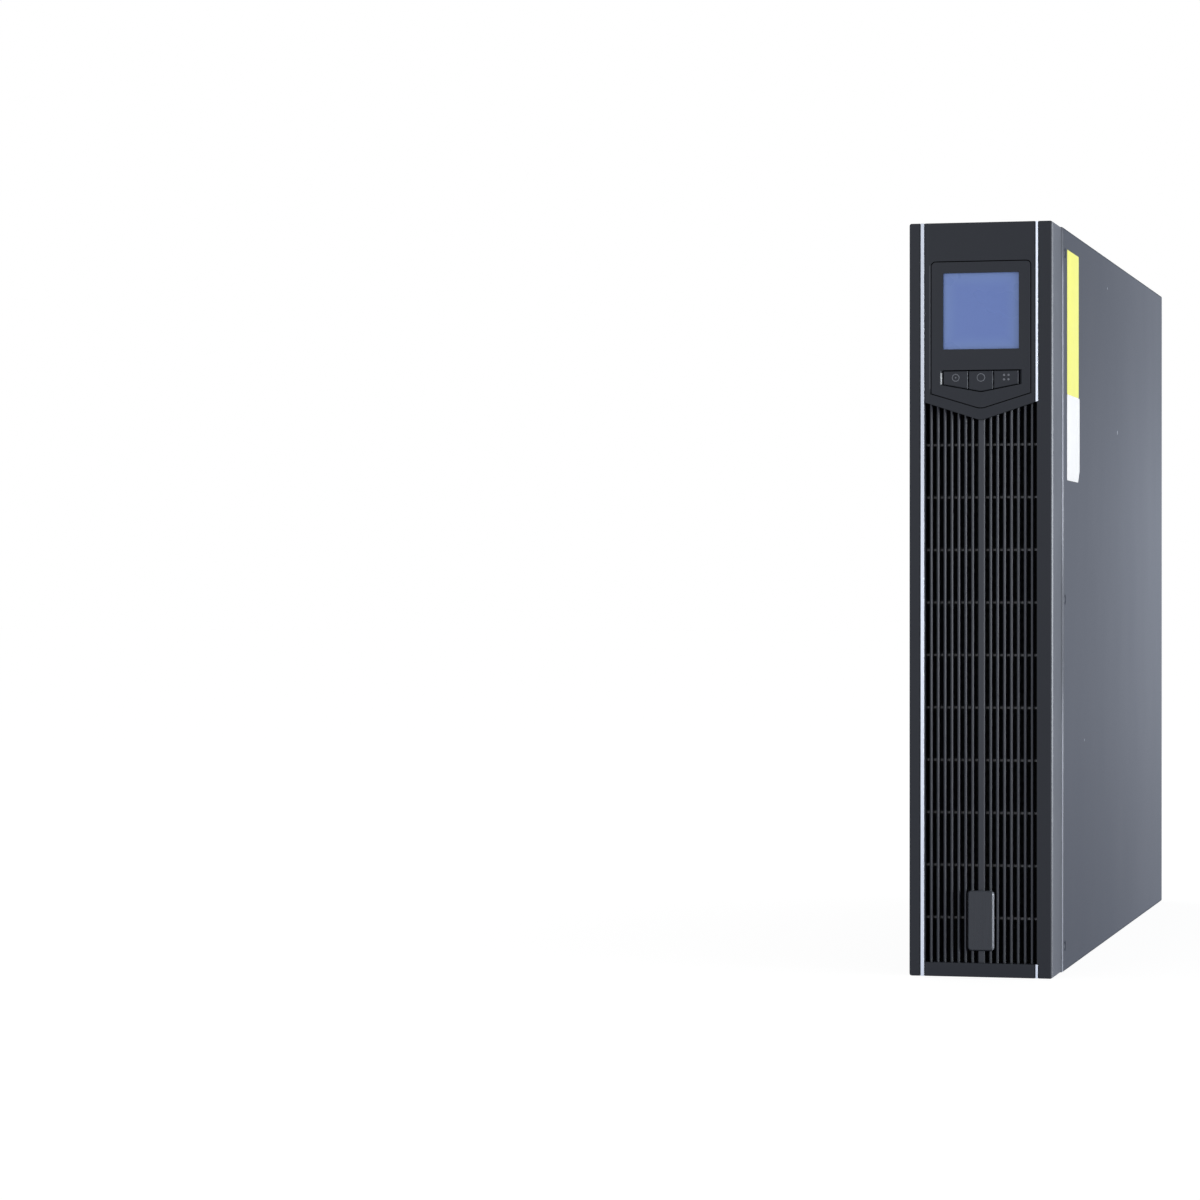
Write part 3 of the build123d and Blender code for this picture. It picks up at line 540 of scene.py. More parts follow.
def sticker_vinyl(name, base):
    """Blank coloured vinyl with faint handling marks."""
    finish = Finish(name, {"IOR": 1.45})
    marks = finish.noise(140, 4)
    grime = finish.ramp(marks, 0.58, 0.8) * 0.10
    finish.feed("Base Color", finish.blend(grime, base, DUST))
    finish.feed("Roughness", 0.44 + marks * 0.16)
    finish.relief(marks, 0.02 * mm, 0.05 * mm)
    return finish.material


def leave_edit():
    """Goes back to object mode."""
    if bpy.context.object and bpy.context.object.mode != "OBJECT":
        bpy.ops.object.mode_set(mode="OBJECT")


def select_only(*pieces):
    """Selects pieces by themselves, in object mode, and makes the first one active."""
    leave_edit()
    bpy.ops.object.select_all(action="DESELECT")
    for piece in pieces:
        piece.select_set(True)
    bpy.context.view_layer.objects.active = pieces[0]


def start(name, primitive, stretch=(1, 1, 1), **sizes):
    """Adds a primitive by itself, stretched along its axes, with its place in its mesh."""
    leave_edit()
    bpy.ops.object.select_all(action="DESELECT")
    primitive(**sizes)
    piece = bpy.context.object
    piece.name = name
    piece.scale = stretch
    bpy.ops.object.transform_apply(location=True, rotation=True, scale=True)
    return piece


def box(name, size, centre=(0, 0, 0)):
    """A box with its size along X, Y and Z."""
    return start(name, bpy.ops.mesh.primitive_cube_add, size, size=1, location=centre)


def cylinder(name, sides, radius, length, base=0.0, x=0.0, y=0.0):
    """An upright cylinder that starts at a height."""
    sizes = {"vertices": sides, "radius": radius, "depth": length, "location": (x, y, base + length / 2)}
    return start(name, bpy.ops.mesh.primitive_cylinder_add, **sizes)


def torus(name, radius, wire, segments, sides, height=0.0, stretch=(1, 1, 1)):
    """A ring of round wire about the Z axis, at a height."""
    sizes = {"major_radius": radius, "major_segments": segments}
    sizes |= {"minor_radius": wire, "minor_segments": sides, "location": (0, 0, height)}
    return start(name, bpy.ops.mesh.primitive_torus_add, stretch, **sizes)


def pick_faces(piece, test):
    """Goes into edit mode with only the faces selected that pass the test."""
    select_only(piece)
    bpy.ops.object.mode_set(mode="EDIT")
    bpy.ops.mesh.select_mode(type="FACE")
    bpy.ops.mesh.select_all(action="DESELECT")
    mesh = bmesh.from_edit_mesh(piece.data)
    for face in mesh.faces:
        face.select_set(test(face))
    bmesh.update_edit_mesh(piece.data)


def pick_points(piece, test):
    """Goes into edit mode with only the points selected that pass the test."""
    select_only(piece)
    bpy.ops.object.mode_set(mode="EDIT")
    bpy.ops.mesh.select_mode(type="VERT")
    bpy.ops.mesh.select_all(action="DESELECT")
    mesh = bmesh.from_edit_mesh(piece.data)
    for point in mesh.verts:
        point.select_set(test(point.co))
    mesh.select_flush(True)
    bmesh.update_edit_mesh(piece.data)


def on_top(face):
    """True for the faces that look up."""
    return face.normal.z > 0.5


def on_ends(face):
    """True for the faces that look up or down."""
    return abs(face.normal.z) > 0.5


def round_edges(piece, test, offset, segments):
    """Bevels the edges of the faces that pass the test."""
    pick_faces(piece, test)
    bpy.ops.mesh.bevel(offset=offset, segments=segments, affect="EDGES")
    leave_edit()


def modify(piece, kind, **settings):
    """Adds a modifier and applies it."""
    select_only(piece)
    modifier = piece.modifiers.new(kind.lower(), kind)
    for name, value in settings.items():
        setattr(modifier, name, value)
    bpy.ops.object.modifier_apply(modifier=modifier.name)


def cut(piece, cutter):
    """Cuts one piece out of another."""
    modify(piece, "BOOLEAN", operation="DIFFERENCE", solver="EXACT", object=cutter)
    bpy.data.objects.remove(cutter)


def joined(name, pieces):
    """Joins pieces into one."""
    select_only(*pieces)
    if len(pieces) > 1:
        bpy.ops.object.join()
    piece = bpy.context.object
    piece.name = name
    return piece


def placed_copy(piece, name, place):
    """A copy with its own mesh, moved to its place."""
    twin = piece.copy()
    twin.data = piece.data.copy()
    twin.name = name
    bpy.context.scene.collection.objects.link(twin)
    twin.data.transform(place)
    return twin


def patterned(name, pattern, places):
    """One piece made of copies of a pattern, which is then removed."""
    copies = [placed_copy(pattern, name, place) for place in places]
    bpy.data.objects.remove(pattern)
    return joined(name, copies)


def dress(piece, material, body="case"):
    """Gives a finished piece its smooth shading, material and body."""
    select_only(piece)
    bpy.ops.object.shade_smooth_by_angle(angle=math.radians(35))
    piece.data.materials.clear()
    piece.data.materials.append(material)
    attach(piece, body)
    return piece


def at(x, y, z, facing, turn=0.0):
    """The matrix that puts a fitting modelled along +Z at a place, turned as a driven screw may stop."""
    spin = Matrix.Rotation(math.radians(turn), 4, "Z")
    return Matrix.Translation((x, y, z)) @ facing @ spin


def cross_cutter(span, depth):
    """The tapered cross of a screw's recess, sunk from z = 0."""
    bars = []
    for size in ((span, 0.28 * span, 2 * depth), (0.28 * span, span, 2 * depth)):
        bar = box("recess", size)
        pick_faces(bar, lambda face: face.normal.z < -0.5)
        bpy.ops.transform.resize(value=(0.45, 0.45, 1))
        bars.append(bar)
    cutter = bars[0]
    modify(cutter, "BOOLEAN", operation="UNION", solver="EXACT", object=bars[1])
    bpy.data.objects.remove(bars[1])
    return cutter


def pan_screw(head, height):
    """A pan-head screw with a cross recess, standing on z = 0."""
    screw = cylinder("pan_screw", 32, head / 2, height)
    round_edges(screw, on_top, 0.5 * height, 4)
    cutter = cross_cutter(0.62 * head, 0.55 * height)
    cutter.data.transform(Matrix.Translation((0, 0, height)))
    cut(screw, cutter)
    return screw


def countersunk_screw(head, depth):
    """A flat screw with a cross recess, sunk below z = 0."""
    sizes = {"vertices": 40, "radius1": head / 2 - depth, "radius2": head / 2, "depth": depth}
    screw = start("flat_screw", bpy.ops.mesh.primitive_cone_add, location=(0, 0, -depth / 2), **sizes)
    round_edges(screw, on_top, 0.12 * depth, 2)
    cut(screw, cross_cutter(0.6 * head, 0.8 * depth))
    return screw


def cover_screws(material):
    """Three countersunk screws along the side cover's front edge."""
    low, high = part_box("cover_panel")
    screw = countersunk_screw(COVER_SCREW_HEAD, COVER_SCREW_DEPTH)
    y = low.y + COVER_SCREW_SETBACK
    heights = (low.z + COVER_SCREW_END, (low.z + high.z) / 2, high.z - COVER_SCREW_END)
    sunk = high.x - COVER_SCREW_SUNK
    for number, z in enumerate(heights, 1):
        place = at(sunk, y, z, TO_RIGHT, 29 * number)
        twin = placed_copy(screw, f"cover_screw_{number}", place)
        dress(twin, material)
    bpy.data.objects.remove(screw)


def side_sticker(name, material, far, top, foot, torn=0.0):
    """A blank sticker on the side cover, with soft corners and, where asked, one corner torn off."""
    side = cad_box[1].x
    front, roof = cad_box[0].y, cad_box[1].z
    centre = (side, front + (STICKER_NEAR + far) / 2, roof - (top + foot) / 2)
    sizes = {"size": 1, "location": centre, "rotation": (0, math.radians(90), 0)}
    stretch = (foot - top, far - STICKER_NEAR, 1)
    sticker = start(name, bpy.ops.mesh.primitive_plane_add, stretch, **sizes)
    tip = Vector((side, front + far, roof - foot))
    if torn:
        pick_points(sticker, lambda point: (point - tip).length < mm)
        bpy.ops.mesh.bevel(offset=torn, segments=1, affect="VERTICES")
    pick_points(sticker, lambda point: (point - tip).length >= 1.1 * torn)
    bpy.ops.mesh.bevel(offset=STICKER_CORNER, segments=3, affect="VERTICES")
    leave_edit()
    modify(sticker, "SOLIDIFY", thickness=STICKER_THICK, offset=1.0)
    modify(sticker, "BEVEL", width=0.3 * STICKER_THICK, segments=2, limit_method="ANGLE")
    return dress(sticker, material)


def ring_sign(name, radius):
    """A flat printed ring, centred on the origin."""
    return torus(name, radius, SIGN_LINE, 48, 8, stretch=(1, 1, SIGN_RISE / SIGN_LINE))


def dot_sign(name, radius, x=0.0, y=0.0):
    """A flat printed dot."""
    dot = cylinder(name, 20, radius, 2 * SIGN_RISE, -SIGN_RISE, x, y)
    round_edges(dot, on_top, 0.4 * SIGN_RISE, 2)
    return dot


def key_signs(material):
    """The printed signs: a ring with a dot, a ring, and four dots."""
    half = MENU_PITCH / 2
    corners = [(x, y) for x in (-half, half) for y in (-half, half)]
    marks = {
        "on": [ring_sign("ring", ON_RING), dot_sign("dot", ON_DOT)],
        "off": [ring_sign("ring", OFF_RING)],
        "menu": [dot_sign("dot", MENU_DOT, x, y) for x, y in corners],
    }
    for key, parts in marks.items():
        low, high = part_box(f"key_{key}")
        sign = joined(f"key_sign_{key}", parts)
        sign.data.transform(at((low.x + high.x) / 2, low.y, high.z - SIGN_DROP, TO_FRONT))
        dress(sign, material, body=f"{key}_button")


def painted_highlight_strip(material):
    """A pale strip on the slope at the left end of the key row, a painted highlight."""
    low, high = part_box("key_on")
    strip_piece = box("painted_highlight_strip", HIGHLIGHT_STRIP)
    pick_points(strip_piece, lambda point: abs(point.z) > 0.4 * HIGHLIGHT_STRIP[2])
    bpy.ops.mesh.bevel(offset=HIGHLIGHT_STRIP_ROUND, segments=2, affect="EDGES")
    leave_edit()
    strip_piece.data.transform(Matrix.Rotation(math.radians(45), 4, "Z"))
    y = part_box("display_panel")[0].y + HIGHLIGHT_STRIP_SUNK
    strip_piece.data.transform(Matrix.Translation((low.x - HIGHLIGHT_STRIP_SETBACK, y, high.z - HIGHLIGHT_STRIP_DROP)))
    return dress(strip_piece, material)


def perforated_screen(material):
    """The vent screen as sheet with staggered round holes: one six-sided tile, repeated."""
    low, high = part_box("vent_screen")
    centre = (low + high) / 2
    corner = HOLE_PITCH / math.sqrt(3)
    sizes = {"vertices": 6, "radius": corner, "fill_type": "NGON"}
    tile = start("perforated_screen", bpy.ops.mesh.primitive_circle_add, **sizes)
    pick_faces(tile, lambda face: True)
    bpy.ops.mesh.subdivide(number_cuts=1)
    bpy.ops.mesh.select_all(action="SELECT")
    bpy.ops.mesh.dissolve_faces()
    bpy.ops.mesh.select_all(action="SELECT")
    bpy.ops.mesh.inset(thickness=(HOLE_PITCH - HOLE) / 2)
    bpy.ops.transform.tosphere(value=1.0)
    bpy.ops.mesh.delete(type="FACE")
    leave_edit()
    rows = int((high.z - low.z) / HOLE_PITCH) - 1
    columns = int((high.x - low.x) / (1.5 * corner)) - 1
    tile.data.transform(Matrix.Rotation(math.radians(90), 4, "X"))
    modify(tile, "ARRAY", count=rows, use_relative_offset=False, use_constant_offset=True,
           constant_offset_displace=(0, 0, HOLE_PITCH))
    step = Matrix.Translation((1.5 * corner, 0, HOLE_PITCH / 2))
    pair = joined("perforated_screen", [tile, placed_copy(tile, "column", step)])
    modify(pair, "ARRAY", count=columns // 2, use_relative_offset=False, use_constant_offset=True,
           constant_offset_displace=(3 * corner, 0, 0))
    pick_points(pair, lambda point: True)
    bpy.ops.mesh.remove_doubles(threshold=TILE_WELD)
    bpy.ops.mesh.normals_make_consistent(inside=False)
    leave_edit()
    modify(pair, "SOLIDIFY", thickness=high.y - low.y, offset=0.0)
    bounds = [Vector(point) for point in pair.bound_box]
    pair.data.transform(Matrix.Translation(centre - (bounds[0] + bounds[6]) / 2))
    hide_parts("vent_screen")
    return dress(pair, material)


def dust_filter(material):
    """A sheet of black filter foam behind the vent screen."""
    low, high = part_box("vent_screen")
    near = max(high.y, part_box("front_plate")[1].y) + FILTER_GAP
    centre = ((low.x + high.x) / 2, near + FILTER_THICK / 2, (low.z + high.z) / 2)
    size = (high.x - low.x, FILTER_THICK, high.z - low.z)
    foam = box("dust_filter", size, centre)
    modify(foam, "BEVEL", width=0.3 * FILTER_THICK, segments=3)
    return dress(foam, material)


def fan_guard(which, material):
    """A finger guard of round wire: rings on two crossed wires, with an eye at each end."""
    low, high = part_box(f"fan_{which}_guard")
    left, right = (corner.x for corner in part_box(f"fan_{which}_frame"))
    pitch = (right - left) / 2 - FAN_EYE_EDGE
    wire = GUARD_WIRE / 2
    parts = [torus("ring", radius, wire, 64, 10, 3 * wire) for radius in GUARD_RINGS]
    reach = math.sqrt(2) * pitch - GUARD_EYE
    for turn in (45, 135):
        sizes = {"vertices": 10, "radius": wire, "depth": 2 * reach}
        spin = (math.radians(90), 0, math.radians(turn))
        bar = start("bar", bpy.ops.mesh.primitive_cylinder_add, rotation=spin, **sizes)
        bar.data.transform(Matrix.Translation((0, 0, wire)))
        parts.append(bar)
    for x in (-pitch, pitch):
        for y in (-pitch, pitch):
            eye = torus("eye", GUARD_EYE, wire, 28, 10, wire)
            eye.data.transform(Matrix.Translation((x, y, 0)))
            parts.append(eye)
    guard = joined(f"fan_{which}_wire_guard", parts)
    guard.data.transform(at(0, low.y, (low.z + high.z) / 2, TO_BACK))
    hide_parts(f"fan_{which}_guard")
    return dress(guard, material)


def fan_screws(which, material):
    """Four pan screws through the guard's eyes."""
    low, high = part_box(f"fan_{which}_frame")
    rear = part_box("rear_panel")[1].y
    reach = (high.x - low.x) / 2 - FAN_EYE_EDGE
    height = (low.z + high.z) / 2
    places = []
    for number, (x, z) in enumerate([(-1, -1), (-1, 1), (1, -1), (1, 1)]):
        places.append(at(x * reach, rear + GUARD_WIRE / 2, height + z * reach, TO_BACK, 23 * number))
    screws = patterned(f"fan_{which}_screws", pan_screw(PAN_HEAD, PAN_HEIGHT), places)
    return dress(screws, material)


def panel_screws(material):
    """Pan screws along the rear panel's edges."""
    low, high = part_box("rear_panel")
    middle = (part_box("fan_upper_frame")[0].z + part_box("fan_lower_frame")[1].z) / 2
    heights = (low.z + PANEL_SCREW_EDGE, middle, high.z - PANEL_SCREW_EDGE)
    places = []
    for number, z in enumerate(heights):
        for side in (low.x + PANEL_SCREW_EDGE, high.x - PANEL_SCREW_EDGE):
            places.append(at(side, high.y, z, TO_BACK, 31 * number + 400 * side))
    screws = patterned("rear_panel_screws", pan_screw(PAN_HEAD, PAN_HEIGHT), places)
    return dress(screws, material)


def terminal_screws(material):
    """Pan screws in the corners of the terminal cover."""
    low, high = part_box("terminal_cover")
    places = []
    for number, x in enumerate((low.x + TERMINAL_SCREW_EDGE, high.x - TERMINAL_SCREW_EDGE)):
        for z in (low.z + TERMINAL_SCREW_EDGE, high.z - TERMINAL_SCREW_EDGE):
            places.append(at(x, high.y, z, TO_BACK, 40 * number + 300 * z))
    screws = patterned("terminal_screws", pan_screw(PAN_HEAD, PAN_HEIGHT), places)
    return dress(screws, material)


def node_middle(node):
    """The middle of a node's box, on the node's rearmost plane."""
    low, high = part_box(node)
    return Vector(((low.x + high.x) / 2, high.y, (low.z + high.z) / 2))


def fan_rotor(which, material):
    """A fan rotor: a hub cap with a rounded rim and seven cambered, twisted blades."""
    low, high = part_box(f"fan_{which}_rotor")
    depth = high.y - low.y
    hub = cylinder("hub", 56, ROTOR_HUB, depth, -depth / 2)
    round_edges(hub, on_ends, 0.08 * ROTOR_HUB, 4)
    pick_faces(hub, lambda face: face.normal.z > 0.99)
    bpy.ops.mesh.inset(thickness=0.12 * ROTOR_HUB)
    bpy.ops.mesh.inset(thickness=0.03 * ROTOR_HUB, depth=-0.04 * ROTOR_HUB)
    leave_edit()
    root = 0.9 * ROTOR_HUB
    span = ROTOR_TIP - root
    sizes = {"x_subdivisions": 10, "y_subdivisions": 8, "size": 1}
    blade = start("blade", bpy.ops.mesh.primitive_grid_add, (span, BLADE_CHORD, 1), **sizes)
    modify(blade, "SIMPLE_DEFORM", deform_method="BEND", deform_axis="X", angle=math.radians(50))
    modify(blade, "SIMPLE_DEFORM", deform_method="TWIST", deform_axis="X", angle=math.radians(-22))
    modify(blade, "SOLIDIFY", thickness=BLADE_THICK, offset=0.0)
    modify(blade, "BEVEL", width=0.3 * BLADE_THICK, segments=2, limit_method="ANGLE")
    blade.data.transform(Matrix.Rotation(math.radians(36), 4, "X"))
    blade.data.transform(Matrix.Translation((root + span / 2, 0, 0)))
    turns = [Matrix.Rotation(2 * math.pi * n / ROTOR_BLADES, 4, "Z") for n in range(ROTOR_BLADES)]
    blades = patterned("blades", blade, turns)
    rotor = joined(f"fan_{which}_bladed_rotor", [hub, blades])
    rotor.data.transform(at(0, (low.y + high.y) / 2, (low.z + high.z) / 2, TO_BACK))
    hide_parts(f"fan_{which}_rotor")
    return dress(rotor, material)


def thumbscrews(material):
    """Two knurled thumbscrews with a driver slot, on the card slot's plate."""
    low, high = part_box("card_thumbscrews")
    length = high.y - low.y
    screw = cylinder("thumbscrew", 48, THUMB_HEAD / 2, length)
    round_edges(screw, on_ends, 0.09 * THUMB_HEAD, 3)

    def on_flank(face):
        """True for the long faces round the head."""
        longest = max(edge.calc_length() for edge in face.edges)
        return longest > 0.5 * length and abs(face.normal.z) < 0.1

    pick_faces(screw, on_flank)
    bpy.ops.mesh.inset(thickness=KNURL_RIM, depth=-KNURL_DEPTH, use_individual=True)
    leave_edit()
    cut(screw, box("slot", (THUMB_SLOT, 1.2 * THUMB_HEAD, THUMB_SLOT_CUT), (0, 0, length)))
    z = (low.z + high.z) / 2
    sides = (low.x + THUMB_HEAD / 2, high.x - THUMB_HEAD / 2)
    places = [at(x, low.y, z, TO_BACK, 900 * x) for x in sides]
    screws = patterned("knurled_thumbscrews", screw, places)
    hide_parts("card_thumbscrews")
    return dress(screws, material)


def washer(radius, bore, thick, height):
    """A flat washer about the Z axis, standing at a height."""
    ring = cylinder("washer", 40, radius, thick, height)
    round_edges(ring, on_ends, 0.2 * thick, 2)
    pick_faces(ring, lambda face: abs(face.normal.z) > 0.99)
    bpy.ops.mesh.inset(thickness=radius - bore)
    bpy.ops.mesh.bridge_edge_loops()
    leave_edit()
    return ring


def earth_stud(material):
    """The earth stud: rolled thread, a hexagon nut with bevelled corners, and two washers."""
    low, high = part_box("ground_stud")
    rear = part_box("rear_panel")[1].y
    length = high.y - rear
    turn = cylinder("stud", 28, STUD, STUD_THREAD, -STUD_THREAD / 2)
    pick_faces(turn, lambda face: not on_ends(face))
    bpy.ops.mesh.subdivide(number_cuts=1, quadcorner="PATH")
    pick_points(turn, lambda point: abs(point.z) > 0.4 * STUD_THREAD)
    bpy.ops.transform.resize(value=(0.84, 0.84, 1))
    leave_edit()
    turns = int(length / STUD_THREAD)
    modify(turn, "ARRAY", count=turns, use_relative_offset=False, use_constant_offset=True,
           constant_offset_displace=(0, 0, STUD_THREAD), use_merge_vertices=True)
    turn.data.transform(Matrix.Translation((0, 0, length - (turns - 0.5) * STUD_THREAD)))
    thick = STUD_WASHER_THICK
    nut = cylinder("nut", 6, STUD_NUT / math.sqrt(3), STUD_NUT_HEIGHT, 2 * thick)
    round_edges(nut, on_ends, STUD_NUT_BEVEL, 2)
    modify(nut, "BEVEL", width=STUD_NUT_EDGE, segments=2, limit_method="ANGLE")
    plates = [washer(STUD_WASHER, STUD, thick, 0), washer(0.85 * STUD_WASHER, STUD, thick, thick)]
    stud = joined("threaded_earth_stud", [turn, nut, *plates])
    stud.data.transform(at((low.x + high.x) / 2, rear, (low.z + high.z) / 2, TO_BACK, 12))
    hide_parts("ground_stud")
    return dress(stud, material)


def serial_insert(material):
    """The serial port's moulded insert with nine sockets."""
    middle = node_middle("serial_port")
    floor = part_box("rear_panel")[1].y + SERIAL_LIP
    length = SERIAL_INSERT[2]
    insert = box("serial_insert", SERIAL_INSERT, (0, 0, length / 2))
    pick_points(insert, lambda point: point.y > 0)
    bpy.ops.transform.resize(value=(0.84, 1, 1))
    leave_edit()
    modify(insert, "BEVEL", width=SERIAL_ROUND, segments=3, limit_method="ANGLE")
    sockets = []
    for row, count in ((-0.5, 5), (0.5, 4)):
        for number in range(count):
            x = (number - (count - 1) / 2) * SERIAL_PIN_PITCH
            y = row * SERIAL_ROW_PITCH
            sockets.append(cylinder("socket", 16, SERIAL_PIN, length, length / 2, x, y))
    cut(insert, joined("sockets", sockets))
    insert.data.transform(at(middle.x, floor, middle.z, TO_BACK))
    return dress(insert, material)


def serial_posts(material):
    """Two hexagon posts with threaded bores beside the serial port."""
    middle = node_middle("serial_port")
    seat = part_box("rear_panel")[1].y + SERIAL_LIP
    post = cylinder("post", 6, POST_WIDTH / math.sqrt(3), POST_HEIGHT)
    round_edges(post, on_top, POST_BEVEL, 2)
    cut(post, cylinder("bore", 24, 0.3 * POST_WIDTH, POST_HEIGHT, POST_HEIGHT / 2))
    modify(post, "BEVEL", width=POST_EDGE, segments=2, limit_method="ANGLE")
    places = [at(middle.x + side * SERIAL_POST, seat, middle.z, TO_BACK, 14 * side) for side in (-1, 1)]
    return dress(patterned("serial_posts", post, places), material)


def data_port_tongue(plastic, brass):
    """The data port's moulded tongue with four contacts."""
    middle = node_middle("usb_port")
    width, height, length = TONGUE
    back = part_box("rear_panel")[1].y - TONGUE_SETBACK
    tongue = box("data_port_tongue", TONGUE, (0, 0, -length / 2))
    round_edges(tongue, on_top, TONGUE_ROUND, 3)
    tongue.data.transform(at(middle.x, back, middle.z, TO_BACK))
    dress(tongue, plastic)
    strip = box("contact", CONTACT)
    modify(strip, "BEVEL", width=CONTACT_EDGE, segments=2)
    depth = back - CONTACT_SETBACK - CONTACT[2] / 2
    places = []
    for x in (-0.25 * width, 0.25 * width):
        for z in (-height / 2, height / 2):
            places.append(at(middle.x + x, depth, middle.z + z, TO_BACK))
    return dress(patterned("data_port_contacts", strip, places), brass)


def slotted_screw(head, height):
    """A small slotted screw, standing on z = 0."""
    screw = cylinder("slotted_screw", 28, head / 2, height)
    round_edges(screw, on_top, 0.3 * height, 3)
    cut(screw, box("slot", (0.2 * head, 1.2 * head, height), (0, 0, height)))
    return screw


def plug_screws(material):
    """Two slotted screws over the wire entries of the green plug."""
    middle = node_middle("epo_plug")
    z = middle.z + EPO_SCREW_RISE
    places = []
    for side in (-0.5, 0.5):
        places.append(at(middle.x + side * EPO_SCREW_SPAN, middle.y, z, TO_BACK, 70 * side))
    screws = patterned("plug_screws", slotted_screw(EPO_SCREW, EPO_SCREW_HEIGHT), places)
    return dress(screws, material)


def breaker_terminals(plastic, material):
    """The breaker's four screw wells and their screws, above and below its nose."""
    low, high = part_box("input_breaker")
    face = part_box("rear_panel")[1].y + BREAKER_REACH
    middle = (low + high) / 2
    places = []
    for x in (-POLE_SPAN / 2, POLE_SPAN / 2):
        for z in (-POLE_SCREW_SPAN / 2, POLE_SCREW_SPAN / 2):
            places.append(at(middle.x + x, face, middle.z + z, TO_BACK, 2000 * (x + z)))
    well = cylinder("well", 40, POLE_WELL / 2, POLE_WELL_RISE)
    round_edges(well, on_top, POLE_WELL_ROUND, 2)
    pick_faces(well, lambda face: face.normal.z > 0.99)
    bpy.ops.mesh.inset(thickness=0.12 * POLE_WELL)
    bpy.ops.mesh.inset(thickness=0.02 * POLE_WELL, depth=-POLE_WELL_DEPTH)
    leave_edit()
    dress(patterned("breaker_wells", well, places), plastic)
    screws = patterned("breaker_screws", pan_screw(PAN_HEAD, 0.5 * PAN_HEIGHT), places)
    return dress(screws, material)


def rubber_grommets(material):
    """Closed cable grommets: a rolled lip round a stepped membrane."""
    low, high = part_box("cable_grommets")
    depth = high.y - low.y
    radius = (high.z - low.z) / 2
    membrane = cylinder("membrane", 64, radius, depth, -depth)
    pick_faces(membrane, on_top)
    bpy.ops.mesh.inset(thickness=GROMMET_STEP, depth=-0.3 * GROMMET_STEP)
    bpy.ops.mesh.inset(thickness=0.2 * GROMMET_STEP)
    bpy.ops.mesh.inset(thickness=GROMMET_STEP, depth=0.25 * GROMMET_STEP)
    bpy.ops.mesh.inset(thickness=0.6 * GROMMET_STEP, depth=-0.2 * GROMMET_STEP)
    leave_edit()
    modify(membrane, "BEVEL", width=GROMMET_EDGE, segments=2, limit_method="ANGLE")
    lip = torus("lip", radius, GROMMET_LIP, 64, 14, stretch=(1, 1, 0.7))
    grommet = joined("grommet", [membrane, lip])
    z = (low.z + high.z) / 2
    places = [at(x, high.y, z, TO_BACK) for x in (low.x + radius, high.x - radius)]
    grommets = patterned("lipped_grommets", grommet, places)
    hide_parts("cable_grommets")
    return dress(grommets, material)


def lamp(name, spot, aim):
    """A soft rectangular lamp of a given radiance and colour, turned towards a point."""
    place, width, height, radiance, colour = spot
    data = bpy.data.lights.new(name, "AREA")
    data.shape = "RECTANGLE"
    data.size = width
    data.size_y = height
    data.energy = radiance * math.pi * width * height
    data.color = colour
    holder = bpy.data.objects.new(name, data)
    holder.location = place
    holder.rotation_euler = (aim - place).to_track_quat("-Z", "Y").to_euler()
    holder.visible_camera = False
    bpy.context.scene.collection.objects.link(holder)


def seen_rays(finish):
    """1 for the rays that show a surface: straight from the camera, mirrored or through glass."""
    seen = finish.node("ShaderNodeLightPath", output="Is Camera Ray")
    seen = seen.most(finish.node("ShaderNodeLightPath", output="Is Glossy Ray"))
    return seen.most(finish.node("ShaderNodeLightPath", output="Is Transmission Ray"))


def studio():
    """A white room for the camera and for reflections, which glows more dimly on matt surfaces."""
    bpy.context.scene.view_settings.view_transform = "Standard"
    world = bpy.data.worlds.new("studio")
    bpy.context.scene.world = world
    room = Finish("studio", owner=world)
    mirrored = room.node("ShaderNodeLightPath", output="Is Glossy Ray")
    strength = ROOM_GLOW + seen_rays(room) * (1 - ROOM_GLOW)
    colour = room.blend(mirrored, (1, 1, 1, 1), ROOM_COOL)
    background = room.tree.nodes["Background"]
    room.tree.links.new(colour.socket, background.inputs["Color"])
    room.tree.links.new(strength.socket, background.inputs["Strength"])


def pale_floor():
    """A white floor that the camera sees as bright as the room, apart from the soft shadow."""
    floor = start("floor", bpy.ops.mesh.primitive_plane_add, size=40)
    finish = Finish("pale_floor", {"Base Color": (0.9, 0.9, 0.9, 1), "Roughness": 0.9})
    finish.shader.inputs["Specular IOR Level"].default_value = 0.0
    mirrored = finish.node("ShaderNodeLightPath", output="Is Glossy Ray")
    colour = finish.blend(mirrored, (1, 1, 1, 1), FLOOR_COOL)
    glow = finish.node("ShaderNodeEmission", {}, {"Color": colour, "Strength": FLOOR_GLOW})
    shaded = Wire(finish, finish.shader.outputs[0])
    share = seen_rays(finish) * FLOOR_SHARE
    both = finish.node("ShaderNodeMixShader", {}, {0: share, 1: shaded, 2: glow})
    finish.tree.links.new(both.socket, finish.tree.nodes["Material Output"].inputs["Surface"])
    floor.data.materials.append(finish.material)


def photo_camera():
    """A camera at the photograph's viewpoint."""
    data = bpy.data.cameras.new("photo_camera")
    data.lens = LENS
    data.sensor_width = 36
    data.clip_start = 0.05
    data.clip_end = 100
    camera = bpy.data.objects.new("photo_camera", data)
    camera.location = EYE
    camera.rotation_euler = (EYE_PITCH, 0, EYE_TURN)
    bpy.context.scene.collection.objects.link(camera)
    bpy.context.scene.camera = camera


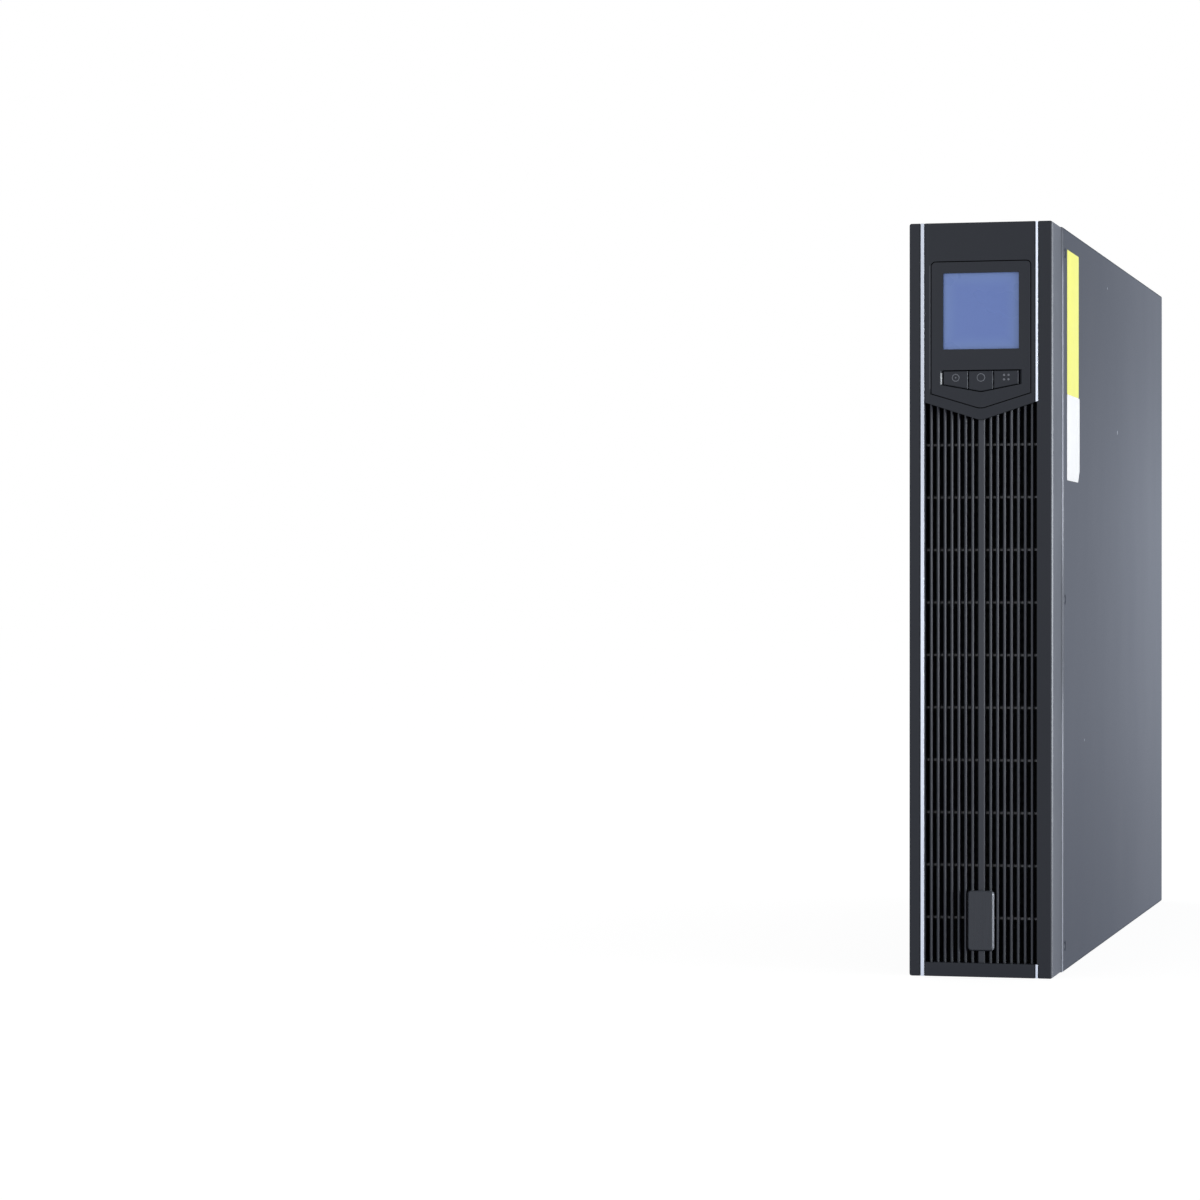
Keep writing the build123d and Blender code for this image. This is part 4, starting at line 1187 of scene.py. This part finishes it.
finishes = {
    "bezel_plastic": moulded_plastic("bezel_plastic", 0.42, 0.012 * mm, 0.10, bezel_polish, rib_fronts),
    "panel_plastic": moulded_plastic("panel_plastic", 0.40, 0.008 * mm, 0.06),
    "key_plastic": moulded_plastic("key_plastic", 0.38, 0.006 * mm, 0.04, key_polish),
    "lcd": blue_screen(),
    "silver_trim": silver_trim(),
    "badge": satin_badge(),
    "black_steel": powder_coat(),
    "screen_steel": plated_steel("screen_steel", (0.012, 0.012, 0.013, 1), 0.7),
    "fan_plastic": plain_plastic("fan_plastic", (0.016, 0.016, 0.017, 1), 0.5),
    "bright_steel": plated_steel("bright_steel", (0.70, 0.68, 0.65, 1), 0.32),
    "epo_green": plain_plastic("epo_green", (0.03, 0.24, 0.08, 1), 0.42),
    "breaker_grey": plain_plastic("breaker_grey", (0.34, 0.34, 0.33, 1), 0.4),
    "black_plastic": plain_plastic("black_plastic", (0.018, 0.018, 0.019, 1), 0.46),
    "contact_brass": plated_steel("contact_brass", (0.78, 0.55, 0.24, 1), 0.3),
    "grommet_rubber": plain_plastic("grommet_rubber", (0.012, 0.012, 0.012, 1), 0.7),
}
for subpart in frame["record"]["subparts"]:
    node = frame["nodes"][subpart["node"]]
    for holder in node.material_slots:
        holder.material = finishes[subpart["material_slot"]]

dark_zinc = plated_steel("dark_zinc", (0.09, 0.092, 0.10, 1), 0.36)
cover_screws(plated_steel("cover_zinc", (0.30, 0.31, 0.34, 1), 0.36))
yellow = sticker_vinyl("yellow_vinyl", STICKER_YELLOW)
white = sticker_vinyl("white_vinyl", STICKER_WHITE)
side_sticker("yellow_sticker", yellow, YELLOW_FAR, YELLOW_TOP, STICKER_SPLIT)
side_sticker("white_sticker", white, WHITE_FAR, STICKER_SPLIT, WHITE_FOOT, STICKER_TORN)
key_signs(plain_plastic("key_ink", INK, 0.5))
# Painted highlight: a pale strip on the key row's left slope
painted_highlight_strip(plain_plastic("highlight_paint", (0.80, 0.83, 0.85, 1), 0.3))
perforated_screen(finishes["screen_steel"])
dust_filter(plain_plastic("filter_foam", (0.004, 0.004, 0.004, 1), 0.9))
for which in ("upper", "lower"):
    fan_guard(which, finishes["bright_steel"])
    fan_screws(which, dark_zinc)
    fan_rotor(which, finishes["fan_plastic"])
panel_screws(dark_zinc)
terminal_screws(dark_zinc)
thumbscrews(finishes["bright_steel"])
earth_stud(finishes["bright_steel"])
serial_insert(finishes["black_plastic"])
serial_posts(finishes["bright_steel"])
data_port_tongue(finishes["black_plastic"], finishes["contact_brass"])
plug_screws(finishes["bright_steel"])
breaker_terminals(finishes["breaker_grey"], finishes["bright_steel"])
rubber_grommets(finishes["grommet_rubber"])

studio()
pale_floor()
middle = (cad_box[0] + cad_box[1]) / 2
lamp("key_lamp", KEY_LAMP, middle)
lamp("front_lamp", FRONT_LAMP, middle)
lamp("back_lamp", BACK_LAMP, middle)
photo_camera()
